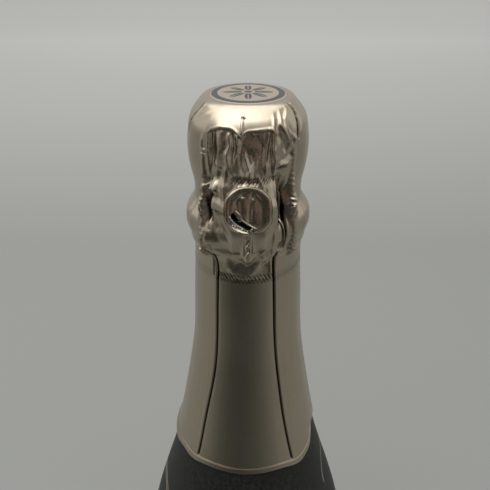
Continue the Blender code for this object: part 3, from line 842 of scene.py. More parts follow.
def follow_pleats(azimuth: Grid, pleats: tuple[Grid, Grid], outer: float) -> Grid:
    """Slide columns sideways, so that two of them follow the front pleats.

    Args:
        azimuth: the columns' azimuths.
        pleats: the azimuths of the left and the right pleat there.
        outer: the azimuth on either side from which the columns stay.

    Returns:
        The new azimuths.
    """
    left, right = pleats
    into_left = np.clip((azimuth + outer) / (outer + LEFT_REST), 0, 1) * np.clip(azimuth / LEFT_REST, 0, 1)
    into_right = np.clip((outer - azimuth) / (outer - RIGHT_REST), 0, 1) * np.clip(azimuth / RIGHT_REST, 0, 1)
    return azimuth + into_left * (left - LEFT_REST) + into_right * (right - RIGHT_REST)


def laps(azimuth: Grid, pleats: tuple[Grid, Grid], scale: Grid, sink: float, groove: float) -> tuple[Grid, Grid]:
    """The side panels' laps over the front panel, each with a groove beside it.

    Args:
        azimuth: degrees.
        pleats: the azimuths of the left and the right pleat there.
        scale: the millimetres in a degree there.
        sink: how many millimetres a lap takes to sink away outwards.
        groove: the groove's depth in millimetres.

    Returns:
        The lift in millimetres, and how dark the painted shade line beside each lap is.
    """
    lift, dark = np.zeros_like(azimuth), np.zeros_like(azimuth)
    for inward in ((azimuth - pleats[0]) * scale, (pleats[1] - azimuth) * scale):
        lap = np.exp(-np.clip(-inward, 0, None) / sink) * ease(0.5 - inward / LAP_EDGE)
        lift += LAP_HEIGHT * lap - groove * bell(inward - GROOVE_PLACE, GROOVE_WIDTH)
        # painted shade: a dark line along the groove beside the lap, where shade falls
        dark += bell(inward - SHADE_LINE_WIDTH, SHADE_LINE_WIDTH, 4)
    return lift, dark


@dataclass(frozen=True)
class Perforation:
    """A row of short slanted cuts along which the foil tears."""

    row: float
    pitch: float
    half_height: float
    slant: float
    middle: float
    half_reach: float
    side_share: float = 0.0
    sides: Span = (-95.0, 95.0, 10.0)
    soft_edge: float = 0.35

    def depth(self, azimuth: Grid, height: Grid) -> Grid:
        """How deep the cuts are at each point.

        Args:
            azimuth: degrees.
            height: millimetres.

        Returns:
            1 in the middle of a cut and 0 between the cuts.
        """
        away = height - self.row
        inside = window(azimuth, self.middle - self.half_reach, self.middle + self.half_reach, 3.0)
        side = window(azimuth, *self.sides) * (1 - inside) * self.side_share
        front_wave = np.cos(2 * np.pi * (azimuth + away * self.slant) / self.pitch)
        side_wave = np.cos(2 * np.pi * (azimuth - away * self.slant) / self.pitch)
        waves = ease((front_wave + 0.3) / 0.9) * inside + ease((side_wave + 0.1) / 0.9) * side
        return waves * window(away, -self.half_height, self.half_height, self.soft_edge)


TEAR_ROW = Perforation(274.3, 3.8, 1.15, 2.4, -2.5, 27.0, 0.35)
RING_ROW = Perforation(304.2, 3.1, 0.6, -3.6, 6.0, 19.0)


# What lies under the foil


@dataclass
class HiddenShape:
    """How far cork, wires and glass reach outwards under the foil, on a grid of azimuths and heights."""

    pieces: Sequence[Piece]
    low: float = 272.0
    high: float = 321.5
    pitch: float = 0.25
    slope: float = 1.25
    columns: int = 432
    ray_start: float = 35.0
    fall_passes: int = 40
    widen_passes: int = 5
    soften_passes: int = 22
    soften_round_every: int = 8
    near: Grid = field(init=False)
    draped: Grid = field(init=False)

    def __post_init__(self) -> None:
        """Measure the solids by rays from outside, and drape a cone-sided sheet over them."""
        points, faces = [], []
        for piece in self.pieces:
            mesh = piece.data
            start = len(points)
            points += [v.co.copy() for v in mesh.vertices]
            faces += [tuple(start + v for v in p.vertices) for p in mesh.polygons]
        tree = BVHTree.FromPolygons(points, faces)
        heights = np.arange(self.low, self.high, self.pitch)
        azimuths = np.linspace(-180, 180, self.columns, endpoint=False)
        near = np.zeros((len(heights), self.columns))
        for i, height in enumerate(heights):
            for j, azimuth in enumerate(azimuths):
                angle = math.radians(azimuth)
                outward = Vector((math.sin(angle), -math.cos(angle), 0))
                start = outward * self.ray_start + Vector((0, 0, height))
                hit = tree.ray_cast(start * MM, -outward)[0]
                if hit:
                    near[i, j] = math.hypot(hit.x, hit.y) / MM
        self.near = near
        self.draped = self.drape(near)

    def drape(self, near: Grid) -> Grid:
        """Stretch a sheet over the measured shape.

        Args:
            near: the reach of the solids.

        Returns:
            The sheet's radius, which falls off at a steady slope beside what it lies on.
        """
        sheet = near.copy()
        fall_up = self.slope * self.pitch
        fall_round = self.slope * math.radians(360 / self.columns) * HEAD_RADIUS
        for _ in range(self.fall_passes):
            for axis, fall in enumerate((fall_up, fall_round)):
                for shift in (1, -1):
                    moved = np.roll(sheet, shift, axis)
                    if axis == 0:
                        moved[0 if shift == 1 else -1] = 0
                    sheet = np.maximum(sheet, moved - fall)
        for k in range(self.widen_passes + self.soften_passes):
            wide = np.pad(sheet, ((1, 1), (0, 0)), mode="edge")
            if k < self.widen_passes:
                sheet = np.maximum(np.maximum(wide[:-2], wide[2:]), sheet)
                continue
            sheet = (wide[:-2] + 2 * sheet + wide[2:]) / 4
            if (k - self.widen_passes) % self.soften_round_every == 0:
                sheet = (np.roll(sheet, 1, 1) + 2 * sheet + np.roll(sheet, -1, 1)) / 4
        return sheet

    def sample(self, values: Grid, azimuth: Grid, height: Grid) -> Grid:
        """Read a grid of values at azimuths and heights, with straight lines between its points.

        Args:
            values: the grid.
            azimuth: degrees.
            height: millimetres.

        Returns:
            The value at each place.
        """
        row = np.clip((height - self.low) / self.pitch, 0, len(values) - 1.001)
        column = ((azimuth + 180) % 360) / 360 * self.columns
        i, j = row.astype(int), column.astype(int)
        u, v = row - i, column - j
        j, after = j % self.columns, (j + 1) % self.columns
        lower = values[i, j] * (1 - v) + values[i, after] * v
        upper = values[i + 1, j] * (1 - v) + values[i + 1, after] * v
        return lower * (1 - u) + upper * u


# Folds of the foil


class FoldKind(Enum):
    """How a fold rises across its line."""

    RIDGE = "a sharp crest or valley"
    ROUND = "a soft crest or valley"


@dataclass(frozen=True)
class Fold:
    """A fold along (azimuth, height) points; a negative rise is a valley, and a creased one has painted shade along
    its bottom.
    """

    line: tuple[tuple[float, float], ...]
    rise: float
    width: float
    kind: FoldKind = FoldKind.RIDGE
    creased: bool = False
    crease_width: float = 0.34
    crease_shade: float = 1.5

    def shape(self, azimuth: Grid, height: Grid) -> tuple[Grid, Grid]:
        """How far the fold lifts the foil, and how dark the painted shade in its crease is, at each point.

        Args:
            azimuth: degrees.
            height: millimetres.

        Returns:
            The lift in millimetres and the painted shade's darkness from 0 to 1.
        """
        scale = DEGREE * HEAD_RADIUS
        across = azimuth * scale
        nearest = np.full_like(across, np.inf)
        along = np.zeros_like(across)
        reach = 0.0
        for (a0, z0), (a1, z1) in zip(self.line, self.line[1:]):
            step = np.array([(a1 - a0) * scale, z1 - z0])
            length = float(np.hypot(*step))
            side, up = across - a0 * scale, height - z0
            share = np.clip((side * step[0] + up * step[1]) / length**2, 0, 1)
            away = np.hypot(side - share * step[0], up - share * step[1])
            closer = away < nearest
            along = np.where(closer, reach + share * length, along)
            nearest = np.where(closer, away, nearest)
            reach += length
        taper = 0.35 + 0.65 * np.sin(np.pi * np.clip(along / reach, 0.02, 0.98)) ** 0.7
        if self.kind is FoldKind.RIDGE:
            profile = np.clip(1 - nearest / self.width, 0, 1) ** 1.15
        else:
            profile = bell(nearest, self.width)
        # painted shade along the bottom of a creased fold
        dark = self.crease_shade * taper * bell(nearest, self.crease_width) * self.creased
        return self.rise * taper * profile, dark


R, S = FoldKind.RIDGE, FoldKind.ROUND

HEAD_FOLDS = (
    Fold(((-18.5, 315.2), (-16.5, 312.7), (-19.8, 310.4), (-18, 307.5), (-13.8, 305.2)), 0.60, 0.9, R),
    Fold(((-10.5, 316), (-9.5, 312.8), (-10.4, 309.3)), 0.65, 0.9, R),
    Fold(((-14.5, 315.4), (-13, 312.4), (-15, 308.6)), -0.45, 0.7, S),
    Fold(((-27, 316), (-26.5, 311.5), (-27, 307)), 0.42, 1.9, S),
    Fold(((-33.5, 315.6), (-34, 311), (-33, 306.5)), -0.55, 1.0, S),
    Fold(((-36.5, 315.5), (-38, 311), (-37, 307)), 0.35, 0.7, R),
    Fold(((3, 315.6), (4.5, 311.5), (6, 307.5)), -0.6, 2.3, S),
    Fold(((10.5, 315.4), (10.5, 312), (9, 309)), 0.18, 0.6, R),
    Fold(((-4.8, 311.5), (-1.0, 307.8), (2.8, 305.0)), 0.32, 0.8, R),
    Fold(((5.5, 315.5), (6.8, 311.5), (7.5, 308)), 0.22, 0.6, R),
    Fold(((0.2, 315.2), (1.6, 311.8), (3.2, 308.6)), 0.18, 0.6, R),
    Fold(((-7.5, 309.5), (-4.4, 306.6), (-2.5, 305)), -0.40, 0.7, S),
    Fold(((6.5, 308.8), (1.5, 306.2), (-1.0, 305.2)), 0.28, 0.7, R),
    Fold(((20.5, 316.4), (17.8, 313.3), (15.2, 309.1), (16, 306)), 0.62, 0.9, R),
    Fold(((25.8, 319.3), (23.5, 317.1), (23.8, 314.2)), 0.35, 0.6, R),
    Fold(((28.5, 314.6), (34.5, 311.9), (39.8, 309.7), (33, 308.5)), -0.60, 0.8, S),
    Fold(((22, 312), (24.5, 309), (23, 306)), 0.38, 1.0, R),
    Fold(((43.5, 319.8), (37.0, 318.4), (35.8, 316.7), (43.0, 313.9), (51.0, 312.2)), 0.52, 0.75, R),
    Fold(((33.5, 319.6), (30.8, 317.5), (35.0, 315.4), (39.5, 313.0), (38.0, 310.9)), 0.50, 0.7, R),
    Fold(((38, 317.6), (39, 315.8), (44, 312)), -0.40, 0.6, S),
    Fold(((29, 319.0), (27, 317), (28, 315.4)), -0.30, 0.6, S),
    Fold(((26.3, 307.4), (32, 307.8), (38.5, 307.5)), 0.55, 0.6, R),
    Fold(((27, 306.6), (32, 306.9), (37, 306.7)), -0.25, 0.5, S, True),
    Fold(((-32.8, 308.3), (-28, 307), (-23.0, 306.5)), 0.40, 0.8, R),
    Fold(((-46, 303.6), (-39, 302.6), (-33, 303.4)), -0.45, 0.8, S),
    Fold(((-51.2, 299.4), (-42, 301.2), (-34.0, 301.7), (-24.8, 301.0)), 0.50, 0.8, R),
    Fold(((-20.2, 307.0), (-21.8, 303.3), (-20.5, 299.4)), 0.50, 0.7, R),
    Fold(((-25.5, 306), (-27.5, 302.5), (-26, 299)), -0.45, 0.8, S),
    Fold(((-13, 305), (-8, 302.6), (-12, 300.4)), 0.30, 0.8, R),
    Fold(((8, 305), (13, 302.9), (11, 300.6)), 0.32, 0.8, R),
)

CROWN_FOLDS = (
    Fold(((-6, 319.2), (-6.2, 317), (-6.4, 314.6)), 0.32, 0.55, R),
    Fold(((-60, 320.4), (-62.5, 319.0), (-66, 317.6), (-69, 315.7), (-70, 313.4)), -0.50, 0.45, R, True),
    Fold(((-57, 320.4), (-60, 318.4), (-64, 316.0)), 0.25, 0.8, R),
    Fold(((53, 320.8), (54.2, 319.4), (51.8, 317.9), (49.8, 315.9), (48.8, 313.0)), -0.55, 0.45, R, True),
    Fold(((57, 320.4), (57.5, 318.0), (55, 315), (53, 312)), 0.32, 0.8, R),
    Fold(((-30, 320.6), (-45, 318.9), (-58, 317.2)), 0.18, 1.0, R),
    Fold(((112, 319.5), (116, 315), (113, 309)), -0.3, 0.6, R),
    Fold(((-118, 319.5), (-115, 314), (-119, 308)), -0.3, 0.6, R),
    Fold(((160, 319.5), (166, 314), (161, 306)), 0.35, 1.2, R),
    Fold(((-165, 319), (-158, 313), (-163, 305)), -0.3, 0.8, R),
)

RING_FOLDS = (
    Fold(((-25, 281.2), (-19, 278.6), (-13, 275.6)), 0.42, 1.5, S),
    Fold(((20, 281.4), (12, 279.4), (1, 275.6)), 0.5, 1.2, S),
    Fold(((9, 282.4), (2, 282.0), (-5.5, 282.2)), 0.30, 0.6, R),
    Fold(((9, 282.4), (18, 284.3)), 0.30, 0.6, R),
    Fold(((9, 282.4), (3.5, 284.8)), -0.30, 0.5, R),
    Fold(((9, 282.4), (12.5, 284.2)), -0.35, 0.6, S),
    Fold(((9, 282.4), (20, 279.5), (25, 277)), 0.22, 1.0, R),
    Fold(((-8, 281), (-16, 278.5), (-26, 276.5)), 0.22, 1.4, R),
    Fold(((-26, 291.5), (-27, 288.5), (-25, 286)), -0.6, 2.2, S),
    Fold(((12, 287.5), (18, 289.2), (24, 291.5)), 0.35, 1.5, S),
    Fold(((-6, 280.0), (-14, 278.6), (-22, 279.2)), -0.35, 1.2, S),
    Fold(((6, 279.6), (14, 278.2), (22, 279.5)), -0.35, 1.2, S),
    Fold(((24.8, 303.5), (23.2, 298.2), (26.0, 294.0), (28.0, 290.0), (30.5, 284.6)), 0.35, 0.7, R),
    Fold(((31, 304), (32.5, 298.5), (31.5, 293), (32.5, 288.5), (33.5, 283)), -1.7, 1.3, S, True),
    Fold(((36, 299), (36.5, 293), (36.5, 287), (37, 283)), 0.45, 0.5, R),
    Fold(((-37.5, 289.5), (-38, 287), (-40, 284)), 1.25, 2.3, S),
    Fold(((-52.0, 298.1), (-44.5, 295.4), (-45.0, 292.8), (-39.8, 289.5), (-45.2, 283.1)), 0.30, 0.6, R),
    Fold(((-41, 298.5), (-38.5, 294), (-37.5, 290.5)), -0.55, 0.9, S, True),
    Fold(((34.5, 301), (36.0, 296), (35.0, 290), (36.0, 284.5)), -0.5, 0.5, R, True),
    Fold(((-33.5, 301.5), (-36.0, 297), (-34.0, 292)), -0.4, 0.5, R, True),
    Fold(((-34.5, 299.5), (-33, 295), (-35, 291)), 0.30, 0.9, R),
    Fold(((60, 296), (64, 290), (60, 284)), 0.2, 1.2, R),
    Fold(((-58, 296), (-64, 290), (-60, 284)), 0.2, 1.2, R),
    Fold(((68, 294), (72, 289)), 0.15, 0.9, R),
    Fold(((-70, 294), (-74, 289)), 0.15, 0.9, R),
    Fold(((170, 283), (176, 279), (169, 275)), 0.25, 1.0, R),
)


@dataclass
class FoilForm:
    """The foil's surface from the crown down to the tear line, as every piece of the hood follows it."""

    hidden: HiddenShape
    stations: Outline = (
        (10.1, 321.66), (10.9, 321.54), (11.6, 321.32), (12.3, 320.93), (12.95, 320.3), (13.6, 319.55), (14.3, 318.75),
        (14.95, 317.8), (15.45, 316.85), (15.8, 315.8), (16.05, 314.2), (16.2, 312.0), (16.25, 309.0), (16.15, 306.0),
        (15.8, 303.2), (15.35, 301.0), (14.95, 299.0), (14.8, 297.0), (14.85, 295.3), (15.3, 293.9), (16.1, 292.4),
        (17.0, 290.8), (17.5, 289.2), (17.6, 287.7), (17.5, 286.6), (17.2, 285.5), (16.75, 284.4), (16.42, 283.3),
        (16.3, 282.4), (15.95, 281.4), (15.66, 280.2), (15.54, 278.8), (15.5, 277.0), (15.54, 275.6), (15.62, 274.1),
    )
    wall: float = 0.2
    clearance: float = 0.06
    loop_centre: Place = (0.0, -17.596, 296.915)
    loop_lean: float = 9.0
    loop_radius: float = 5.3
    patch_radius: float = 6.1
    tent_height: float = 0.85
    tent_slope: float = 1.05
    left_pleat: Outline = (
        (272, -33.5), (277, -33.8), (279.8, -36.2), (281.5, -40), (283.3, -45.5), (286, -47), (300, -46.5),
        (306, -44), (316, -38), (322, -36),
    )
    right_pleat: Outline = (
        (272, 28.5), (280.6, 28.2), (284.2, 32), (286, 33), (292, 33), (300, 31.5), (306, 29), (316, 22.5), (322, 24),
    )
    lip: Outline = (
        (-44, 315.3), (-38, 315.6), (-37.2, 315.7), (-34, 316.1), (-26.3, 316.9), (-16.5, 316.9), (-10.8, 316.2),
        (-6.8, 314.7), (-3.7, 315.8), (-0.2, 316.3), (10.2, 316.5), (21.2, 316.6), (23, 315.9), (30, 316.0),
    )
    lip_row: float = 316.0
    lip_recess: float = 0.9
    lip_bead: float = 0.12
    lip_sides: Span = (-35.5, 21.3, 2.4)
    front: Span = (-36.0, 36.0, 8.0)
    crumpled_bands: tuple[tuple[float, Span], ...] = (
        (1.0, (300.5, 315.0, 2.0)), (0.7, (292.5, 300.5, 2.0)),
        (0.22, (281.5, 290.5, 2.0)), (0.45, (275.8, 281.0, 1.2)),
    )
    ridges: Place = (2.8, 3.1, 1.9)
    fine_ridges: Place = (1.5, 11.7, 1.4)
    broad_waves: Place = (7.0, 23.4, 1.8)
    cushion: float = 0.30
    rung_azimuths: tuple[float, float] = (43.5, 135.0)
    rung_strip: Span = (-1.7, 1.7, 1.6)
    rung_heights: Span = (283.0, 310.0, 4.0)
    rung_pitch: float = 1.35
    rung_rise: float = 0.26
    rung_slant: float = 16.0
    cut_depth: float = 0.24
    # dash_place and dash_reach set a small dash of painted shade in the crown, where the foil has a vent
    dash_place: tuple[float, float] = (-5.0, 319.4)
    dash_reach: tuple[float, float] = (2.6, 0.3)

    def profile(self, height: Grid) -> Grid:
        """The plain radius at a height, through the stations."""
        return flowing([(z, r) for r, z in reversed(self.stations)], height)

    def pleats(self, height: Grid) -> tuple[Grid, Grid]:
        """The azimuths of the two front pleats at a height."""
        return flowing(self.left_pleat, height), flowing(self.right_pleat, height)

    @property
    def lean(self) -> float:
        """The loop's lean in radians."""
        return math.radians(self.loop_lean)

    def loop_frame(self, points: Grid) -> tuple[Grid, Grid]:
        """Places across and up from the middle of the pull ring's loop, along its plane."""
        away = points - np.array(self.loop_centre)
        return away[..., 0], away[..., 1] * math.sin(self.lean) + away[..., 2] * math.cos(self.lean)

    def slide(self, points: Grid, moved: Grid, across: Grid, up: Grid) -> Grid:
        """Slide some points across and up along the loop's plane."""
        step = np.stack([across, up * math.sin(self.lean), up * math.cos(self.lean)], axis=-1)
        return points + step * moved[:, None]

    def tent(self, azimuth: Grid, height: Grid) -> Grid:
        """The radius of the sheet that is stretched over the pull ring's loop.

        Args:
            azimuth: degrees.
            height: millimetres.

        Returns:
            The radius in millimetres, which falls to 0 away from the front.
        """
        angle = np.radians(np.clip(azimuth, -60, 60))
        from_middle = height - self.loop_centre[2]
        up = from_middle / math.cos(self.lean)
        radius = np.full_like(angle, 18.5)
        for _ in range(3):
            x = radius * np.sin(angle)
            away = np.hypot(x, up)
            slope = self.tent_slope - 0.95 * ease((up - 2) / 4) + 0.45 * ease((x - 5) / 3) * ease((up + 3) / 3)
            slope = slope - 0.5 * ease((-up - 3.5) / 2) * ease((8 - np.abs(x)) / 4)
            out = self.tent_height - slope * np.maximum(away - self.patch_radius - 0.1, 0)
            out = out - 0.042 * x**2 * ease((up - 3) / 5)
            y = self.loop_centre[1] + from_middle * math.tan(self.lean) - out / math.cos(self.lean)
            radius = np.maximum(-y / np.cos(angle), 5)
        return radius * ease((42 - np.abs(azimuth + 2)) / 10)

    def pleat_step(self, azimuth: Grid, height: Grid) -> tuple[Grid, Grid]:
        """The side panels' laps over the front panel.

        Args:
            azimuth: degrees.
            height: millimetres.

        Returns:
            The lift in millimetres, and how dark the painted shade line beside each lap is.
        """
        strength = (0.35 + 0.65 * ease((285 - height) / 3)) * ease((321 - height) / 4)
        strength = strength * (1 - 0.9 * ease((height - 299) / 4))
        lift, dark = laps(azimuth, self.pleats(height), DEGREE * self.profile(height), 3.0, 0.36)
        return strength * lift, ease((283.0 - height) / 1.4) * dark

    def lip_height(self, azimuth: Grid) -> Grid:
        """The height of the crown's lip at an azimuth."""
        azimuths, heights = zip(*self.lip)
        return np.interp(azimuth, azimuths, heights)

    def lip_step(self, azimuth: Grid, height: Grid) -> Grid:
        """The lift of the lip's bead, and the recess of the front window under it.

        Args:
            azimuth: degrees.
            height: millimetres.

        Returns:
            The lift in millimetres.
        """
        below = self.lip_height(azimuth) - height
        recess = self.lip_recess * ease(below / 0.35) * (1 - ease((below - 4.5) / 6.5) * 0.7)
        return window(azimuth, *self.lip_sides) * (self.lip_bead * bell(below + 0.35, 0.32) - recess)

    def drawn_over(self, azimuth: Grid, height: Grid, plain: Grid) -> Grid:
        """How far cork, wires, glass and the pull ring's loop hold the foil out.

        Args:
            azimuth: degrees.
            height: millimetres.
            plain: the plain radius there.

        Returns:
            The difference in radius.
        """
        draped = self.hidden.sample(self.hidden.draped, azimuth, height) + self.wall + 2 * self.clearance
        draped = draped - 3 * ease((height - 315.5) / 3)
        held = soft_max(plain, np.where(draped > plain - 1, draped, 0), 0.25)
        return soft_max(held, self.tent(azimuth, height) - 3 * ease((height - 310) / 5), 0.7) - plain

    def folded(self, azimuth: Grid, height: Grid) -> tuple[Grid, Grid]:
        """The lift of all the folds, and how dark the painted shade in their creases is.

        Args:
            azimuth: degrees.
            height: millimetres.

        Returns:
            The lift in millimetres and the painted shade's darkness from 0 to 1.
        """
        lift, dark = np.zeros_like(azimuth), np.zeros_like(azimuth)
        for fold in HEAD_FOLDS + CROWN_FOLDS + RING_FOLDS:
            rise, crease = fold.shape(azimuth, height)
            lift += rise
            dark = np.maximum(dark, crease)
        return lift, dark

    def crumpled(self, azimuth: Grid, height: Grid) -> Grid:
        """How crumpled the foil is: most in the front window, less round and under the pull ring."""
        bands = sum(share * window(height, *band) for share, band in self.crumpled_bands)
        return window(azimuth, *self.front) * np.clip(bands, 0, 1)

    def waves(self, azimuth: Grid, height: Grid, crumpled: Grid) -> Grid:
        """The lift of the crumples, the broad waves, the cushions between the legs and the rungs beside them.

        Args:
            azimuth: degrees.
            height: millimetres.
            crumpled: how crumpled the foil is there.

        Returns:
            The lift in millimetres.
        """
        ridged = 0.5 - np.abs(wavy(azimuth, height, *self.ridges))
        fine = 0.5 - np.abs(wavy(azimuth, height, *self.fine_ridges))
        broad = wavy(azimuth, height, *self.broad_waves) * ease((320 - height) / 4)
        cushions = -np.cos(4 * np.radians(azimuth)) * ease((height - 309) / 6) * ease((321.7 - height) / 1.4)
        off_rungs = np.min([np.abs(np.abs(azimuth) - place) for place in self.rung_azimuths], axis=0)
        rungs = np.sin(2 * np.pi * height / self.rung_pitch + np.radians(azimuth) * self.rung_slant)
        rungs = rungs * np.clip(0.55 + 1.1 * wavy(azimuth, height, 3.2, 8.8), 0.1, 1.3)
        rungs = rungs * window(off_rungs, *self.rung_strip) * window(height, *self.rung_heights)
        lift = crumpled * (0.38 * ridged + 0.12 * fine - 0.16) + 0.14 * broad
        return lift + self.cushion * cushions + self.rung_rise * rungs

    def surface(self, azimuth: Grid, height: Grid) -> tuple[Grid, Grid, dict[str, Grid]]:
        """The foil's outer surface.

        Args:
            azimuth: degrees.
            height: millimetres.

        Returns:
            Radius, height, and for the foil's finish how crumpled it is, how dark its painted shade is and how cut it
            is.
        """
        plain = self.profile(height)
        step = 0.05
        slope = (self.profile(height + step) - self.profile(height - step)) / (2 * step)
        sideways, upwards = 1 / np.hypot(1, slope), -slope / np.hypot(1, slope)
        crumpled = self.crumpled(azimuth, height)
        folds, creases = self.folded(azimuth, height)
        lapped, dark = self.pleat_step(azimuth, height)
        cut = TEAR_ROW.depth(azimuth, height) + RING_ROW.depth(azimuth, height)
        lift = self.drawn_over(azimuth, height, plain) * np.maximum(sideways, 0.4) + folds + lapped
        lift += self.waves(azimuth, height, crumpled) + self.lip_step(azimuth, height) - self.cut_depth * cut
        up = height + lift * upwards
        least = self.hidden.sample(self.hidden.near, azimuth, up) + self.wall + self.clearance
        radius = soft_max(plain + lift * sideways, least, 0.05)
        offsets = (azimuth - self.dash_place[0], height - self.dash_place[1])
        dash = np.hypot(offsets[0] / self.dash_reach[0], offsets[1] / self.dash_reach[1])
        # painted shade: lap lines, crease bottoms and the vent's dash
        dark = dark + creases + ease((1.25 - dash) / 0.4)
        return radius, up, {"crumple": crumpled, "seam": dark, "cut": cut}


# Sub-assemblies


@dataclass
class FoilHood:
    """The foil over cork, cage and ring, torn open in a keyhole for the pull ring."""

    form: FoilForm
    columns: int = 72
    rows: int = 38
    keyhole_gap: float = 0.05
    tab_half_width: float = 1.1
    tab_foot: float = 283.0
    crown_edge: float = 321.35
    sliding_rows: tuple[float, float] = (308.0, 321.5)
    lip_front: Span = (-40.0, 25.0, 8.0)

    def rows_at(self, share: Grid) -> Grid:
        """Heights at shares of the way down, closer together at the crown's lip.

        Args:
            share: shares of the way down, from 0 to 1.

        Returns:
            The height at each share.
        """
        fine = np.linspace(self.form.stations[0][1], self.form.stations[-1][1], 4001)
        run = np.hypot(np.diff(self.form.profile(fine)), np.diff(fine))
        middle = (fine[1:] + fine[:-1]) / 2
        density = (1 + 3.5 * bell(middle - self.form.lip_row, 0.5)) * np.where(middle < 281, 0.75, 1.0)
        return spread(fine, run * density, share)

    def shift_rows(self, azimuth: Grid, height: Grid) -> Grid:
        """Slide rows up or down, so that one of them follows the lip.

        Args:
            azimuth: degrees.
            height: the rows' heights.

        Returns:
            The new heights.
        """
        row = self.form.lip_row
        low, high = self.sliding_rows
        share = np.where(height > row, (high - height) / (high - row), (height - low) / (row - low))
        rise = (self.form.lip_height(azimuth) - row) * window(azimuth, *self.lip_front)
        return height + np.clip(share, 0, 1) * rise

    def sheet(self) -> Piece:
        """Turn the sheet and fold it.

        Returns:
            The open sheet.
        """
        levels = self.rows_at(np.linspace(0, 1, self.rows + 1))
        piece = turned("foil_hood_dressed", list(zip(self.form.profile(levels), levels)), self.columns)
        apply(piece, "SUBSURF", levels=2, render_levels=2)
        points = points_of(piece)
        share = (polar(points)[1] + 180) / 360
        ranks = np.unique(np.round(points[:, 2], 4))[::-1]
        row = np.searchsorted(-ranks, -np.round(points[:, 2], 4))
        height = self.rows_at(row / (len(ranks) - 1))
        azimuth = spread_round(share, (48, 1.7), (LEFT_REST, RIGHT_REST), (2.2, 3.0))
        azimuth = follow_pleats(azimuth, self.form.pleats(height), 80)
        height = self.shift_rows(azimuth, height)
        radius, up, finish = self.form.surface(azimuth, height)
        top = ease((height - self.crown_edge) / 0.3)
        radius = radius * (1 - top) + self.form.profile(height) * top
        place = turn_xy(radius, azimuth, up * (1 - top) + height * top)
        outside, go_across, go_up = self.keyhole(*self.form.loop_frame(place), self.keyhole_gap)
        gone = (outside < 0) & (place[:, 1] < 0)
        move_points(piece, self.form.slide(place, gone, -outside * go_across, -outside * go_up))
        store(piece, finish)
        cut_away(piece, gone)
        return piece

    def keyhole(self, across: Grid, up: Grid, grown: float) -> tuple[Grid, Grid, Grid]:
        """The outline that the ring patch fills: a round over the loop and a tab over the stem.

        Args:
            across: millimetres to the right of the loop's middle.
            up: millimetres above it, along the loop.
            grown: how much wider than the patch the outline is.

        Returns:
            How far each point is outside the outline, and the direction outwards, across and up.
        """
        away = np.maximum(np.hypot(across, up), 1e-6)
        round_out = away - self.form.patch_radius - grown
        side = np.abs(across) - self.tab_half_width - grown
        foot = (self.tab_foot - grown - self.form.loop_centre[2]) / math.cos(self.form.lean)
        below = foot - up
        tab_out = np.where((side > 0) & (below > 0), np.hypot(side, below), np.maximum(side, below))
        tab_out = np.where(up > -3, 1e3, tab_out)
        first = round_out < tab_out
        tab_across = np.where(side >= below, np.sign(across), 0.0)
        tab_up = np.where(side >= below, 0.0, -1.0)
        outside = np.where(first, round_out, tab_out)
        return outside, np.where(first, across / away, tab_across), np.where(first, up / away, tab_up)

    def build(self, foil: Material) -> Piece:
        """Make the hood.

        Args:
            foil: the foil's material.

        Returns:
            The finished hood.
        """
        piece = self.sheet()
        thicken(piece, self.form.wall)
        return hand_in(piece, foil, "foil_hood", "gold_foil", "hood", 60)


@dataclass(frozen=True)
class Dent:
    """A small dent in the ring patch, or a bump where its rise is positive."""

    rise: float
    across: float
    up: float
    lean: float
    wide: float
    tall: float

    def shape(self, across: Grid, up: Grid) -> Grid:
        """The dent's rise in millimetres at each point."""
        side = across - self.across - self.lean * (up - self.up)
        return self.rise * np.exp(-(side**2 / self.wide + (up - self.up) ** 2 / self.tall))


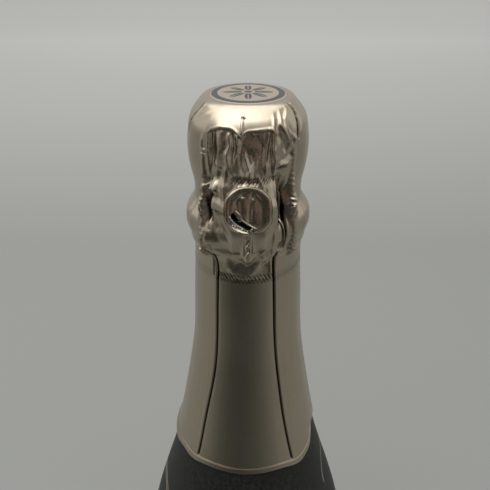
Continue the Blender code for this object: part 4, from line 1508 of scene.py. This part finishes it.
@dataclass
class RingPatch:
    """The round of foil over the pull ring, with its torn slot, and the tab over the twisted stem."""

    form: FoilForm
    hood: FoilHood
    columns: int = 150
    rows: int = 190
    half_turn: float = 24.0
    middle: float = 292.4
    half_height: float = 11.8
    slot_start: tuple[float, float] = (-4.4, -1.0)
    slot_end: tuple[float, float] = (1.45, -4.6)
    slot_half_width: float = 0.95
    dents: tuple[Dent, ...] = (
        Dent(-0.16, -1.5, 3.2, 0.0, 0.45, 0.16),
        Dent(-0.18, 1.1, 2.8, 0.0, 0.16, 0.35),
        Dent(0.16, 0.25, 3.8, 0.5, 0.16, 1.2),
        Dent(0.24, -2.6, 3.0, 0.7, 0.25, 1.6),
        Dent(0.14, 2.4, 3.0, -0.7, 0.16, 1.8),
        Dent(-0.20, 0.392, -0.9, 0.12, 0.30, 5.0),
        Dent(-0.16, -2.62, 0.6, -0.2, 0.45, 4.0),
        Dent(0.12, 2.9, -0.6, 0.0, 0.5, 7.0),
    )

    @property
    def slot_length(self) -> float:
        """The torn slot's length in millimetres."""
        return math.dist(self.slot_start, self.slot_end)

    def slot_places(self, across: Grid, up: Grid) -> tuple[Grid, Grid]:
        """Places along and beside the torn slot, in millimetres from its start and its line.

        Args:
            across: millimetres to the right of the loop's middle.
            up: millimetres above it.

        Returns:
            How far along the slot and how far beside it each point is.
        """
        step = self.slot_direction()
        side, rise = across - self.slot_start[0], up - self.slot_start[1]
        return side * step[0] + rise * step[1], -side * step[1] + rise * step[0]

    def slot_direction(self) -> Grid:
        """The direction along the slot, across and up."""
        return (np.array(self.slot_end) - np.array(self.slot_start)) / self.slot_length

    def relief(self, across: Grid, up: Grid) -> Grid:
        """How far the foil rises inside the round.

        Args:
            across: millimetres to the right of the loop's middle.
            up: millimetres above it.

        Returns:
            The rise in millimetres.
        """
        away = np.hypot(across, up)
        inside = ease((self.form.patch_radius - away) / 0.5)
        over_wire = 0.16 * bell(away - self.form.loop_radius, 0.5)
        sunk = -0.20 * ease((self.form.loop_radius - 0.5 - away) / 1.4)
        dome = 0.30 * ease(1 - away / 5.2)
        dents = sum(dent.shape(across, up) for dent in self.dents)
        along, beside = self.slot_places(across, up)
        near = window(along, 1.6, self.slot_length - 0.8, 1.6)
        lips = 0.30 * bell(beside - 1.1, 0.22) - 0.25 * bell(beside + 1.1, 0.5) + 0.07 * bell(beside - 1.65, 0.2)
        ribs = noise_at(np.stack([across / 1.7, up / 6.0, np.full_like(across, 7.7)], axis=-1))
        shape = over_wire + sunk + dome + (dents + 0.20 * ribs) * ease((5 - away) / 1.0)
        return inside * shape + near * lips * ease((7.0 - away) / 0.6)

    def torn(self, across: Grid, up: Grid) -> tuple[Grid, Grid]:
        """Where the slot is torn open, with jagged edges.

        Args:
            across: millimetres to the right of the loop's middle.
            up: millimetres above it.

        Returns:
            Whether each point is gone, and how far beside itself the slot's edge lies.
        """
        along, beside = self.slot_places(across, up)
        share = np.clip(along / self.slot_length, 0, 1)
        jag = noise_at(np.stack([share * 9.0, beside > 0, np.full_like(share, 4.2)], axis=-1))
        half = self.slot_half_width * np.sin(np.pi * np.clip(share, 0.03, 0.97)) ** 0.35 + 0.2 * jag
        torn = (np.abs(beside) < half) & (along > 0) & (along < self.slot_length)
        return torn, np.sign(beside) * half - beside

    def sheet(self) -> Piece:
        """Make the sheet that the patch is cut from.

        Returns:
            The open sheet.
        """
        deselect()
        bpy.ops.mesh.primitive_grid_add(x_subdivisions=self.columns, y_subdivisions=self.rows, size=2)
        piece = settle(bpy.context.object, "foil_ring_patch_dressed")
        points = points_of(piece) * MM
        azimuth = points[:, 0] * self.half_turn
        height = self.middle + points[:, 1] * self.half_height
        radius, up, finish = self.form.surface(azimuth, height)
        place = turn_xy(radius, azimuth, up)
        across, rise = self.form.loop_frame(place)
        away = np.hypot(across, rise)
        in_round = ease((7.2 - away) / 0.3)
        tent = turn_xy(self.form.tent(azimuth, height), azimuth, height)
        place = place * (1 - in_round[:, None]) + tent * in_round[:, None]
        outward = np.array([0, -math.cos(self.form.lean), math.sin(self.form.lean)])
        place = place + self.relief(across, rise)[:, None] * outward
        outside, go_across, go_up = self.hood.keyhole(across, rise, 0.0)
        gone = outside > 0
        place = self.form.slide(place, gone, -outside * go_across, -outside * go_up)
        torn, shift = self.torn(across, rise)
        step = self.slot_direction()
        move_points(piece, self.form.slide(place, torn, -step[1] * shift, step[0] * shift))
        # rim is painted shade along the patch's edge, where the gap to the hood lies in shade
        rim = ease((away - self.form.patch_radius + 0.3) / 0.2) * (np.abs(across) > 1.4)
        store(piece, {"crumple": np.ones_like(azimuth), "seam": 0.75 * rim, "cut": finish["cut"] * (1 - in_round)})
        cut_away(piece, gone | torn)
        return piece

    def build(self, foil: Material) -> Piece:
        """Make the patch.

        Args:
            foil: the foil's material.

        Returns:
            The finished patch.
        """
        piece = self.sheet()
        if piece.data.polygons[0].normal.y > 0:
            with editing(piece):
                bpy.ops.mesh.flip_normals()
        thicken(piece, self.form.wall)
        return hand_in(piece, foil, "foil_ring_patch", "gold_foil", "ring", 50)


@dataclass
class TopDisc:
    """The round of foil in the crown, flush with the hood round it."""

    outline: Outline = (
        (0, 321.97), (2.5, 321.96), (5.0, 321.91), (7.5, 321.81), (9.2, 321.71), (9.9, 321.66), (10.03, 321.64),
        (10.06, 321.6), (10.08, 321.36), (10.4, 321.28), (11.0, 321.26), (11.1, 321.18), (11.0, 321.1), (9.6, 321.1),
        (9.3, 321.36), (8.8, 321.52), (5.0, 321.70), (0, 321.75),
    )
    columns: int = 96

    def build(self, material: Material) -> Piece:
        """Make the disc.

        Args:
            material: the disc's material.

        Returns:
            The finished disc.
        """
        piece = turned("foil_top_disc_dressed", self.outline, self.columns)
        recalculate(piece)
        return hand_in(piece, material, "foil_top_disc", "disc_foil", "hood", 50)


@dataclass
class GlassBottle:
    """The bottle: punted base, body, sloping shoulder, neck and ringed mouth, hollow inside."""

    outer: Outline = ((118, 44.1), (164, 34.8), (206, 22.9), (241, 16.7), (264, 15.1), (282.3, 13.95))
    inner: Outline = ((118, 39.3), (164, 30.0), (206, 17.8), (241, 11.2), (268, 9.1))
    base: Outline = (
        (0, 33.0), (3.0, 32.8), (6.0, 31.6), (9.5, 28.6), (14.0, 23.0), (20.0, 15.2), (26.0, 7.6), (30.5, 2.0),
        (32.4, 0.4), (33.6, 0.0), (35.2, 0.0), (36.8, 0.0), (38.6, 0.4), (40.8, 1.5), (42.8, 3.6), (43.8, 5.6),
        (44.1, 7.4), (44.1, 20), (44.1, 60), (44.1, 100),
    )
    mouth: Outline = (
        (13.95, 284.4), (14.4, 284.6), (15.2, 284.7), (16.2, 285.3), (16.8, 286.2), (16.95, 287.2), (16.95, 288.8),
        (16.7, 289.9), (16.0, 290.8), (15.0, 291.3), (14.4, 291.7), (14.25, 292.6), (14.25, 297.6), (14.0, 298.9),
        (13.2, 299.7), (12.4, 299.97), (10.8, 299.97), (9.9, 299.6), (9.3, 298.9), (9.1, 297.8), (9.1, 280),
    )
    floor: Outline = (
        (39.3, 100), (39.3, 60), (39.3, 20), (38.6, 15.6), (36.6, 12.2), (33.6, 10.4), (31.0, 11.0), (27.0, 15.0),
        (20.0, 24.0), (14.0, 32.0), (10.0, 36.6), (6.0, 38.7), (3.0, 39.1), (0, 39.2),
    )
    columns: int = 128

    def outline(self) -> list[tuple[float, float]]:
        """The whole closed outline, from the punt's top round the mouth to the inner floor.

        Returns:
            The stations, each a radius and a height.
        """
        up = np.linspace(self.outer[0][0], self.outer[-1][0], 30)
        down = np.linspace(self.inner[-1][0], self.inner[0][0], 24)
        out = zip(self.outer_radius(up), up)
        back = zip(flowing(self.inner, down, True), down)
        return list(self.base) + list(out) + list(self.mouth) + list(back) + list(self.floor)

    def outer_radius(self, height: Grid) -> Grid:
        """The glass's outer radius at heights from the body to the ring."""
        return flowing(self.outer, height, True)

    def build(self, glass: Material) -> Piece:
        """Make the bottle.

        Args:
            glass: the glass's material.

        Returns:
            The finished bottle.
        """
        piece = turned("glass_bottle_dressed", self.outline(), self.columns)
        recalculate(piece)
        return hand_in(piece, glass, "glass_bottle", "dark_glass", "bottle", 60)


@dataclass
class Cork:
    """The mushroom cork with the two discs under it."""

    head: Outline = (
        (0, 286.6), (5.0, 286.6), (8.3, 286.6), (8.65, 286.9), (8.68, 292.0), (8.68, 299.0), (9.0, 300.1),
        (9.8, 300.4), (12.8, 300.4), (13.7, 300.9), (14.25, 302.0), (14.6, 304.0), (14.75, 306.5), (14.8, 309.5),
        (14.72, 312.0), (14.5, 313.8), (14.15, 315.0), (13.6, 315.9), (13.3, 317.2), (13.0, 318.2), (12.3, 318.7),
        (10.5, 318.76), (5.0, 318.78), (0, 318.78),
    )
    disc_height: float = 5.45
    disc_radius: float = 8.66
    dent: float = 1.15
    columns: int = 120

    def dented(self, piece: Piece) -> None:
        """Press the cage's four legs into the head.

        Args:
            piece: the cork's body.
        """
        points = points_of(piece)
        radius, azimuth = polar(points)
        height = points[:, 2].copy()
        pressed = ease((10.5 - off_leg(azimuth)) / 7.0) * ease((radius - 10.5) / 3.0) * ease((height - 300.6) / 3.0)
        swell = 0.10 * wavy(azimuth, height, 8.0, 2.2) * ease((radius - 9) / 4)
        push_out(points, radius, swell - self.dent * pressed)
        move_points(piece, points)

    def build(self, pressed: Material, natural: Material) -> list[Piece]:
        """Make the cork and its discs.

        Args:
            pressed: the body's material.
            natural: the discs' material.

        Returns:
            The finished pieces.
        """
        body = turned("cork_body_dressed", self.head, self.columns)
        self.dented(body)
        pieces = [(body, pressed, "cork_body", "pressed_cork")]
        for node, foot, edge in (("cork_disc_upper", 280.9, 0.12), ("cork_disc_lower", 275.32, 0.7)):
            r, top = self.disc_radius, foot + self.disc_height
            outline = ((0, foot), (5.0, foot), (r - edge, foot), (r - edge * 0.3, foot + edge * 0.3))
            outline += ((r, foot + edge), (r, foot + 3.0), (r, top - 0.12), (r - 0.12, top), (5.0, top), (0, top))
            pieces.append((turned(node + "_dressed", outline, self.columns), natural, node, "natural_cork"))
        for row in pieces:
            recalculate(row[0])
            hand_in(*row, "cork", 35)
        return [row[0] for row in pieces]


@dataclass
class Cage:
    """The wire cage: pressed cap, four twisted legs, belt and pull ring."""

    cap: Outline = (
        (0, 320.42), (3.0, 320.42), (5.6, 320.4), (6.0, 320.3), (6.4, 320.22), (6.8, 320.3), (7.2, 320.4),
        (9.4, 320.42), (9.9, 320.3), (10.5, 319.75), (11.0, 319.52), (12.0, 319.5), (12.5, 319.54), (12.85, 319.52),
        (13.15, 319.36), (13.4, 319.0), (13.6, 318.4), (13.75, 317.5), (13.88, 316.6), (14.0, 316.2), (14.2, 316.0),
    )
    cap_sheet: float = 0.35
    columns: int = 144
    notch_depth: float = 1.25
    flutes: int = 40
    flute_depth: float = 0.06
    crimp_from: float = 311.0
    crimp_depth: float = 2.0

    def make_cap(self) -> Piece:
        """Turn the cap's sheet and press the legs' notches into its rim.

        Returns:
            The cap, without its finish.
        """
        piece = turned("cage_cap_dressed", self.cap, self.columns)
        points = points_of(piece)
        radius, azimuth = polar(points)
        notch = ease((9.5 - off_leg(azimuth)) / 4.5) * ease((radius - 11.8) / 1.2)
        points[:, 2] -= 0.5 * notch * ease((points[:, 2] - 318.0) / 1.0)
        push_out(points, radius, -self.notch_depth * notch)
        flutes = np.cos(np.radians(azimuth) * self.flutes) * ease((318.6 - points[:, 2]) / 1.5)
        push_out(points, radius, self.flute_depth * flutes * (1 - notch))
        move_points(piece, points)
        thicken(piece, self.cap_sheet)
        return piece

    def make_wire(self, node: str) -> Piece:
        """Round off a wire of the cage.

        Args:
            node: the CAD wire that it follows.

        Returns:
            The rounder wire.
        """
        deselect()
        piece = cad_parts[node].copy()
        piece.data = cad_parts[node].data.copy()
        for key in list(piece.keys()):
            del piece[key]
        piece.parent = None
        bpy.context.scene.collection.objects.link(piece)
        piece.name = node + "_dressed"
        with editing(piece):
            bpy.ops.mesh.remove_doubles(threshold=1e-6)
            bpy.ops.mesh.tris_convert_to_quads()
        apply(piece, "SUBSURF", levels=1, render_levels=1)
        return piece

    def crimp(self, piece: Piece) -> None:
        """Press the legs in over the cork's head, flat on the cap, and flat on the glass ring.

        Args:
            piece: the frame wire.
        """
        points = points_of(piece)
        radius = polar(points)[0]
        height = points[:, 2].copy()
        flat = ease((radius - 12.4) / 1.2) * ease((height - 317.5) / 1.5)
        points[:, 2] += flat * (-0.4 * (height - 319.3) - 0.6)
        inward = self.crimp_depth * ease((height - self.crimp_from) / 7.5) * ease((radius - 12.4) / 2.2)
        inward += 0.58 * np.maximum(radius - 17.1, 0) * window(height, 283.5, 292.0, 3.0)
        push_out(points, radius, -inward)
        move_points(piece, points)

    def press_stem(self, piece: Piece) -> None:
        """Press the pull ring's twisted stem flat against the neck.

        Args:
            piece: the pull ring.
        """
        points = points_of(piece)
        low = ease((291.5 - points[:, 2]) / 1.5) * (points[:, 1] < -17.2)
        points[:, 1] -= (0.4 + 0.15 * ease((286 - points[:, 2]) / 3)) * low * (points[:, 1] + 17.25)
        move_points(piece, points)

    def build(self, wire: Material, tin: Material) -> list[Piece]:
        """Make the cage.

        Args:
            wire: the wires' material.
            tin: the cap's material.

        Returns:
            The finished pieces.
        """
        pieces = [(self.make_cap(), tin, "cage_cap", "tinplate", "cage")]
        for node, body in (("cage_frame_wire", "cage"), ("cage_belt_wire", "cage"), ("cage_pull_ring", "ring")):
            pieces.append((self.make_wire(node), wire, node, "cage_wire", body))
        self.crimp(pieces[1][0])
        self.press_stem(pieces[3][0])
        return [hand_in(*row, 60) for row in pieces]


@dataclass
class ShoulderLabel:
    """The dark paper label round the shoulder."""

    glass: GlassBottle
    low: float = 158.0
    high: float = 211.0
    paper: float = 0.2
    lift: float = 0.12
    columns: int = 160

    def build(self, paper: Material) -> Piece:
        """Make the label.

        Args:
            paper: the label's material.

        Returns:
            The finished label.
        """
        heights = np.linspace(self.high, self.low, 34)
        stations = list(zip(self.glass.outer_radius(heights) + self.lift + self.paper, heights))
        piece = turned("shoulder_label_dressed", stations, self.columns)
        thicken(piece, self.paper)
        return hand_in(piece, paper, "shoulder_label", "label_paper", "bottle", 50)


@dataclass
class FoilSkirt:
    """The foil round the neck below the tear line, with its two pleats, side seam and folded hem."""

    glass: GlassBottle
    top: float = 274.04
    bottom: float = 205.1
    cover: Outline = ((205, 1.25), (226, 1.25), (244, 1.0), (256, 0.95), (268, 1.12), (274, 1.27))
    hem: float = 206.9
    hem_rows: int = 12
    columns: int = 200
    rows: int = 150
    wall: float = 0.25
    hem_proud: float = 0.28
    seam_azimuth: float = 84.0
    notch_pitch: float = 2.2
    notch_depth: float = 0.35
    flare: float = 0.42
    left_pleat: Outline = (
        (204, -43.6), (206, -43.2), (223, -40.2), (240, -35.2), (255, -33.8), (272.6, -33.5), (276, -33.6),
    )
    right_pleat: Outline = ((204, 38.5), (205.5, 38.2), (225, 33.8), (237, 32), (257, 29.2), (276, 28.5))

    def pleats(self, height: Grid) -> tuple[Grid, Grid]:
        """The azimuths of the two pleats at a height."""
        return flowing(self.left_pleat, height), flowing(self.right_pleat, height)

    def bottom_edge(self, azimuth: Grid) -> Grid:
        """How far the skirt's foot hangs lower: more at the pleats and at the far left, less at the far right."""
        pleats = 1.2 * bell(azimuth + 50, 14) + 1.6 * bell(azimuth - 44, 12)
        return pleats + 1.8 * window(azimuth, -125, -75, 20) - 4.8 * window(azimuth, 78, 125, 22)

    def relief(self, azimuth: Grid, height: Grid, scale: Grid) -> tuple[Grid, dict[str, Grid]]:
        """The laps, hem, seam, notches, waves and cuts of the skirt.

        Args:
            azimuth: degrees.
            height: millimetres.
            scale: the millimetres in a degree there.

        Returns:
            The lift in millimetres, and for the foil's finish how crumpled it is, how dark its painted shade is and
            how cut it is.
        """
        above_hem = ease((height - self.hem) / 0.5)
        lapped, dark = laps(azimuth, self.pleats(height), scale, 4.0, 0.30)
        seam = (azimuth - self.seam_azimuth) * scale
        notch = (0.5 + 0.5 * np.cos(2 * np.pi * height / self.notch_pitch)) ** 4
        notch = notch * bell(seam, 0.6) * window(height, 222, 270, 3)
        cut = TEAR_ROW.depth(azimuth, height)
        lift = above_hem * (lapped + 0.12 * bell(seam, 0.7)) + self.hem_proud * ease((self.hem - height) / 0.35)
        lift += 0.07 * wavy(azimuth, height, 9.0, 5.3, 4.0) - self.notch_depth * notch - 0.12 * cut
        # the seam value is painted shade: lines beside the laps and shade in the side seam's notches
        return lift, {"crumple": np.zeros_like(lift), "seam": above_hem * dark + 0.8 * notch, "cut": cut}

    def build(self, foil: Material) -> Piece:
        """Make the skirt.

        Args:
            foil: the foil's material.

        Returns:
            The finished skirt.
        """
        levels = np.linspace(self.top, self.bottom, self.rows + 1)
        levels[-self.hem_rows :] = np.linspace(self.hem + 0.8, self.bottom, self.hem_rows)
        radii = self.glass.outer_radius(levels) + flowing(self.cover, levels)
        piece = turned("foil_skirt_dressed", list(zip(radii, levels)), self.columns)
        points = points_of(piece)
        height = points[:, 2]
        plain, azimuth = polar(points)
        folds = (LEFT_REST, RIGHT_REST, self.seam_azimuth)
        azimuth = spread_round((azimuth + 180) / 360, (50, 0.6), folds, (2.5, 4.0))
        azimuth = follow_pleats(azimuth, self.pleats(height), 75)
        lift, finish = self.relief(azimuth, height, DEGREE * plain)
        hang = self.bottom_edge(azimuth) * (1 - ease((height - self.bottom) / 6.0))
        move_points(piece, turn_xy(plain + lift + hang * self.flare, azimuth, height - hang))
        store(piece, finish)
        thicken(piece, self.wall)
        return hand_in(piece, foil, "foil_skirt", "gold_foil", "bottle", 50)


# Studio


@dataclass
class Studio:
    """The plain floor, the soft light and the camera."""

    camera_place: Place = (-0.0008, -0.14563, 0.36047)
    camera_tilt: float = 60.0
    focal_pixels: float = 565.0
    image_pixels: float = 490.0
    sensor_width: float = 36.0

    def floor(self) -> None:
        """Lay the floor, whose colour grows lighter with distance: painted light and shade, darker near the bottle and
        lighter far away.
        """
        deselect()
        bpy.ops.mesh.primitive_plane_add(size=14, location=(0, 0, 0))
        floor = settle(bpy.context.object, "studio_floor")
        paint = Paint("floor")
        side, depth, _ = paint.split(paint.place(1.0))
        away = paint.math("SQRT", side * side + depth * depth)
        depth = paint.math("MAXIMUM", depth, away * 1.3 - 1.3)
        sockets = {"Value": depth, "From Min": 0.0, "From Max": 3.0}
        share = paint.node("ShaderNodeMapRange", None, sockets).pick("Result")
        # painted light: the ramp goes from dark near the bottle to light far away, standing in for how the light falls
        # across the floor
        stops = (
            (0.04, (0.230, 0.234, 0.222)),
            (0.16, (0.244, 0.248, 0.236)),
            (0.27, (0.330, 0.334, 0.318)),
            (0.44, (0.475, 0.479, 0.458)),
            (0.62, (0.645, 0.645, 0.623)),
            (0.9, (0.72, 0.72, 0.70)),
        )
        ramp = paint.node("ShaderNodeValToRGB", None, {0: share}, stops).pick("Color")
        paint.set(Base_Color=ramp, Roughness=0.9, Specular_IOR_Level=0.1)
        dress(floor, paint.material)

    def lamp(self, name: str, place: Vector, target: Vector, size: float, watts: float) -> None:
        """Hang a square soft light.

        Args:
            name: the lamp's name.
            place: where it hangs.
            target: what it faces.
            size: its side in metres.
            watts: its power.
        """
        data = bpy.data.lights.new(name, "AREA")
        data.size = size
        data.energy = watts
        lamp = bpy.data.objects.new(name, data)
        bpy.context.scene.collection.objects.link(lamp)
        lamp.location = place
        lamp.rotation_euler = (target - place).to_track_quat("-Z", "Y").to_euler()

    def card(self, name: str, place: Place, size: tuple[float, float], upright: bool) -> None:
        """Set up a card with a dark middle, which only reflections see.

        Args:
            name: its name.
            place: its middle.
            size: its width, and its height or depth.
            upright: whether it stands, facing the bottle, rather than lies.
        """
        deselect()
        bpy.ops.mesh.primitive_plane_add(size=1, location=place, rotation=(math.pi / 2 * upright, 0, 0))
        card = bpy.context.object
        card.scale = (*size, 1)
        settle(card, name)
        paint = Paint(name)
        x, y, z = paint.split(paint.place())
        across = (x - place[0] / MM) / (size[0] / MM / 2)
        along = (z - place[2] / MM if upright else y - place[1] / MM) / (size[1] / MM / 2)
        away = paint.math("SQRT", across * across + along * along)
        if upright:
            stripes = paint.noise(paint.vector(x * 0.0048, 0.0, z * 0.002), 1.0, 0.0).fade(0.44, 0.60)
            low_and_high = z.fade(120.0, 190.0) * z.fade(400.0, 290.0)
            warm = paint.mix(low_and_high, (0.010, 0.013, 0.0125), (0.66, 0.49, 0.42))
            middle = paint.mix(stripes, (0.011, 0.0145, 0.0135), warm)
        else:
            # the floor card's dark middle is a painted shadow on the floor in front of the bottle, seen only in
            # reflections
            middle = paint.mix(away.fade(0.15, 0.6), (0.007, 0.011, 0.0105), (0.060, 0.069, 0.065))
        paint.set(Base_Color=paint.mix(away.fade(0.45, 1.05), middle, (0.24, 0.24, 0.235)), Roughness=0.9)
        clear = paint.node("ShaderNodeBsdfTransparent").pick()
        out = paint.tree.nodes["Material Output"]
        shader = Socket(paint, paint.shader.outputs[0])
        mixed = paint.node("ShaderNodeMixShader", None, {0: away.fade(0.7, 1.0), 1: shader, 2: clear}).pick()
        paint.join(mixed, out.inputs["Surface"])
        dress(card, paint.material)
        for ray in ("camera", "diffuse", "shadow", "transmission"):
            setattr(card, "visible_" + ray, False)

    def build(self) -> None:
        """Set up floor, lights, world and camera."""
        self.floor()
        # painted shadow in front of the bottle, for reflections only
        self.card("floor_card", (-0.20, -0.48, 0.001), (1.7, 0.88), False)
        self.card("upright_card", (-0.17, -0.74, 0.30), (2.1, 0.90), True)
        self.lamp("key_softbox", Vector((-0.15, 0.0, 1.45)), Vector((-0.03, 0.0, 0.3)), 2.0, 24.0)
        self.lamp("front_softbox", Vector((-0.3, -0.58, 1.2)), Vector((0, 0, 0.3)), 0.9, 3.0)
        self.lamp("left_fill", Vector((-1.3, 0.3, 0.8)), Vector((0, 0, 0.25)), 1.2, 1.5)
        self.lamp("right_fill", Vector((1.3, 0.3, 0.8)), Vector((0, 0, 0.25)), 1.2, 1.2)
        world = bpy.data.worlds.new("studio_world")
        world.use_nodes = True
        back = world.node_tree.nodes["Background"]
        back.inputs["Color"].default_value = (0.55, 0.55, 0.54, 1)
        back.inputs["Strength"].default_value = 1.05
        bpy.context.scene.world = world
        camera_data = bpy.data.cameras.new("camera")
        camera_data.sensor_width = self.sensor_width
        camera_data.lens = self.focal_pixels / self.image_pixels * self.sensor_width
        camera_data.clip_start = 0.01
        camera = bpy.data.objects.new("camera", camera_data)
        bpy.context.scene.collection.objects.link(camera)
        camera.location = self.camera_place
        camera.rotation_euler = (math.radians(self.camera_tilt), 0, 0)
        bpy.context.scene.camera = camera
        bpy.context.scene.view_settings.view_transform = "Standard"


def main() -> None:
    """Build every piece in order and report it."""
    logging.basicConfig(level=logging.INFO, format="%(message)s")
    foil = FoilFinish().paint()
    wire = MetalFinish("cage_wire", (0.62, 0.61, 0.58), (0.45, 0.44, 0.42)).paint()
    tin = MetalFinish("tinplate", (0.55, 0.47, 0.32), (0.42, 0.35, 0.24)).paint()
    pressed = CorkFinish("pressed_cork").paint()
    natural = CorkFinish("natural_cork", (0.62, 0.44, 0.27), (0.36, 0.23, 0.12), 0.05, 0.7).paint()
    bottle = GlassBottle()
    glass = bottle.build(GlassFinish().paint())
    corks = Cork().build(pressed, natural)
    cage = Cage().build(wire, tin)
    label = ShoulderLabel(bottle).build(LabelFinish().paint())
    form = FoilForm(HiddenShape(corks[:1] + cage + [glass]))
    hood = FoilHood(form)
    foils = [hood.build(foil), RingPatch(form, hood).build(foil)]
    foils += [TopDisc().build(DiscFinish().paint()), FoilSkirt(bottle).build(foil)]
    for piece in [glass, *corks, *cage, label, *foils]:
        log.info("%s: %d faces", piece.name, len(piece.data.polygons))
    Studio().build()


if __name__ == "__main__":
    main()
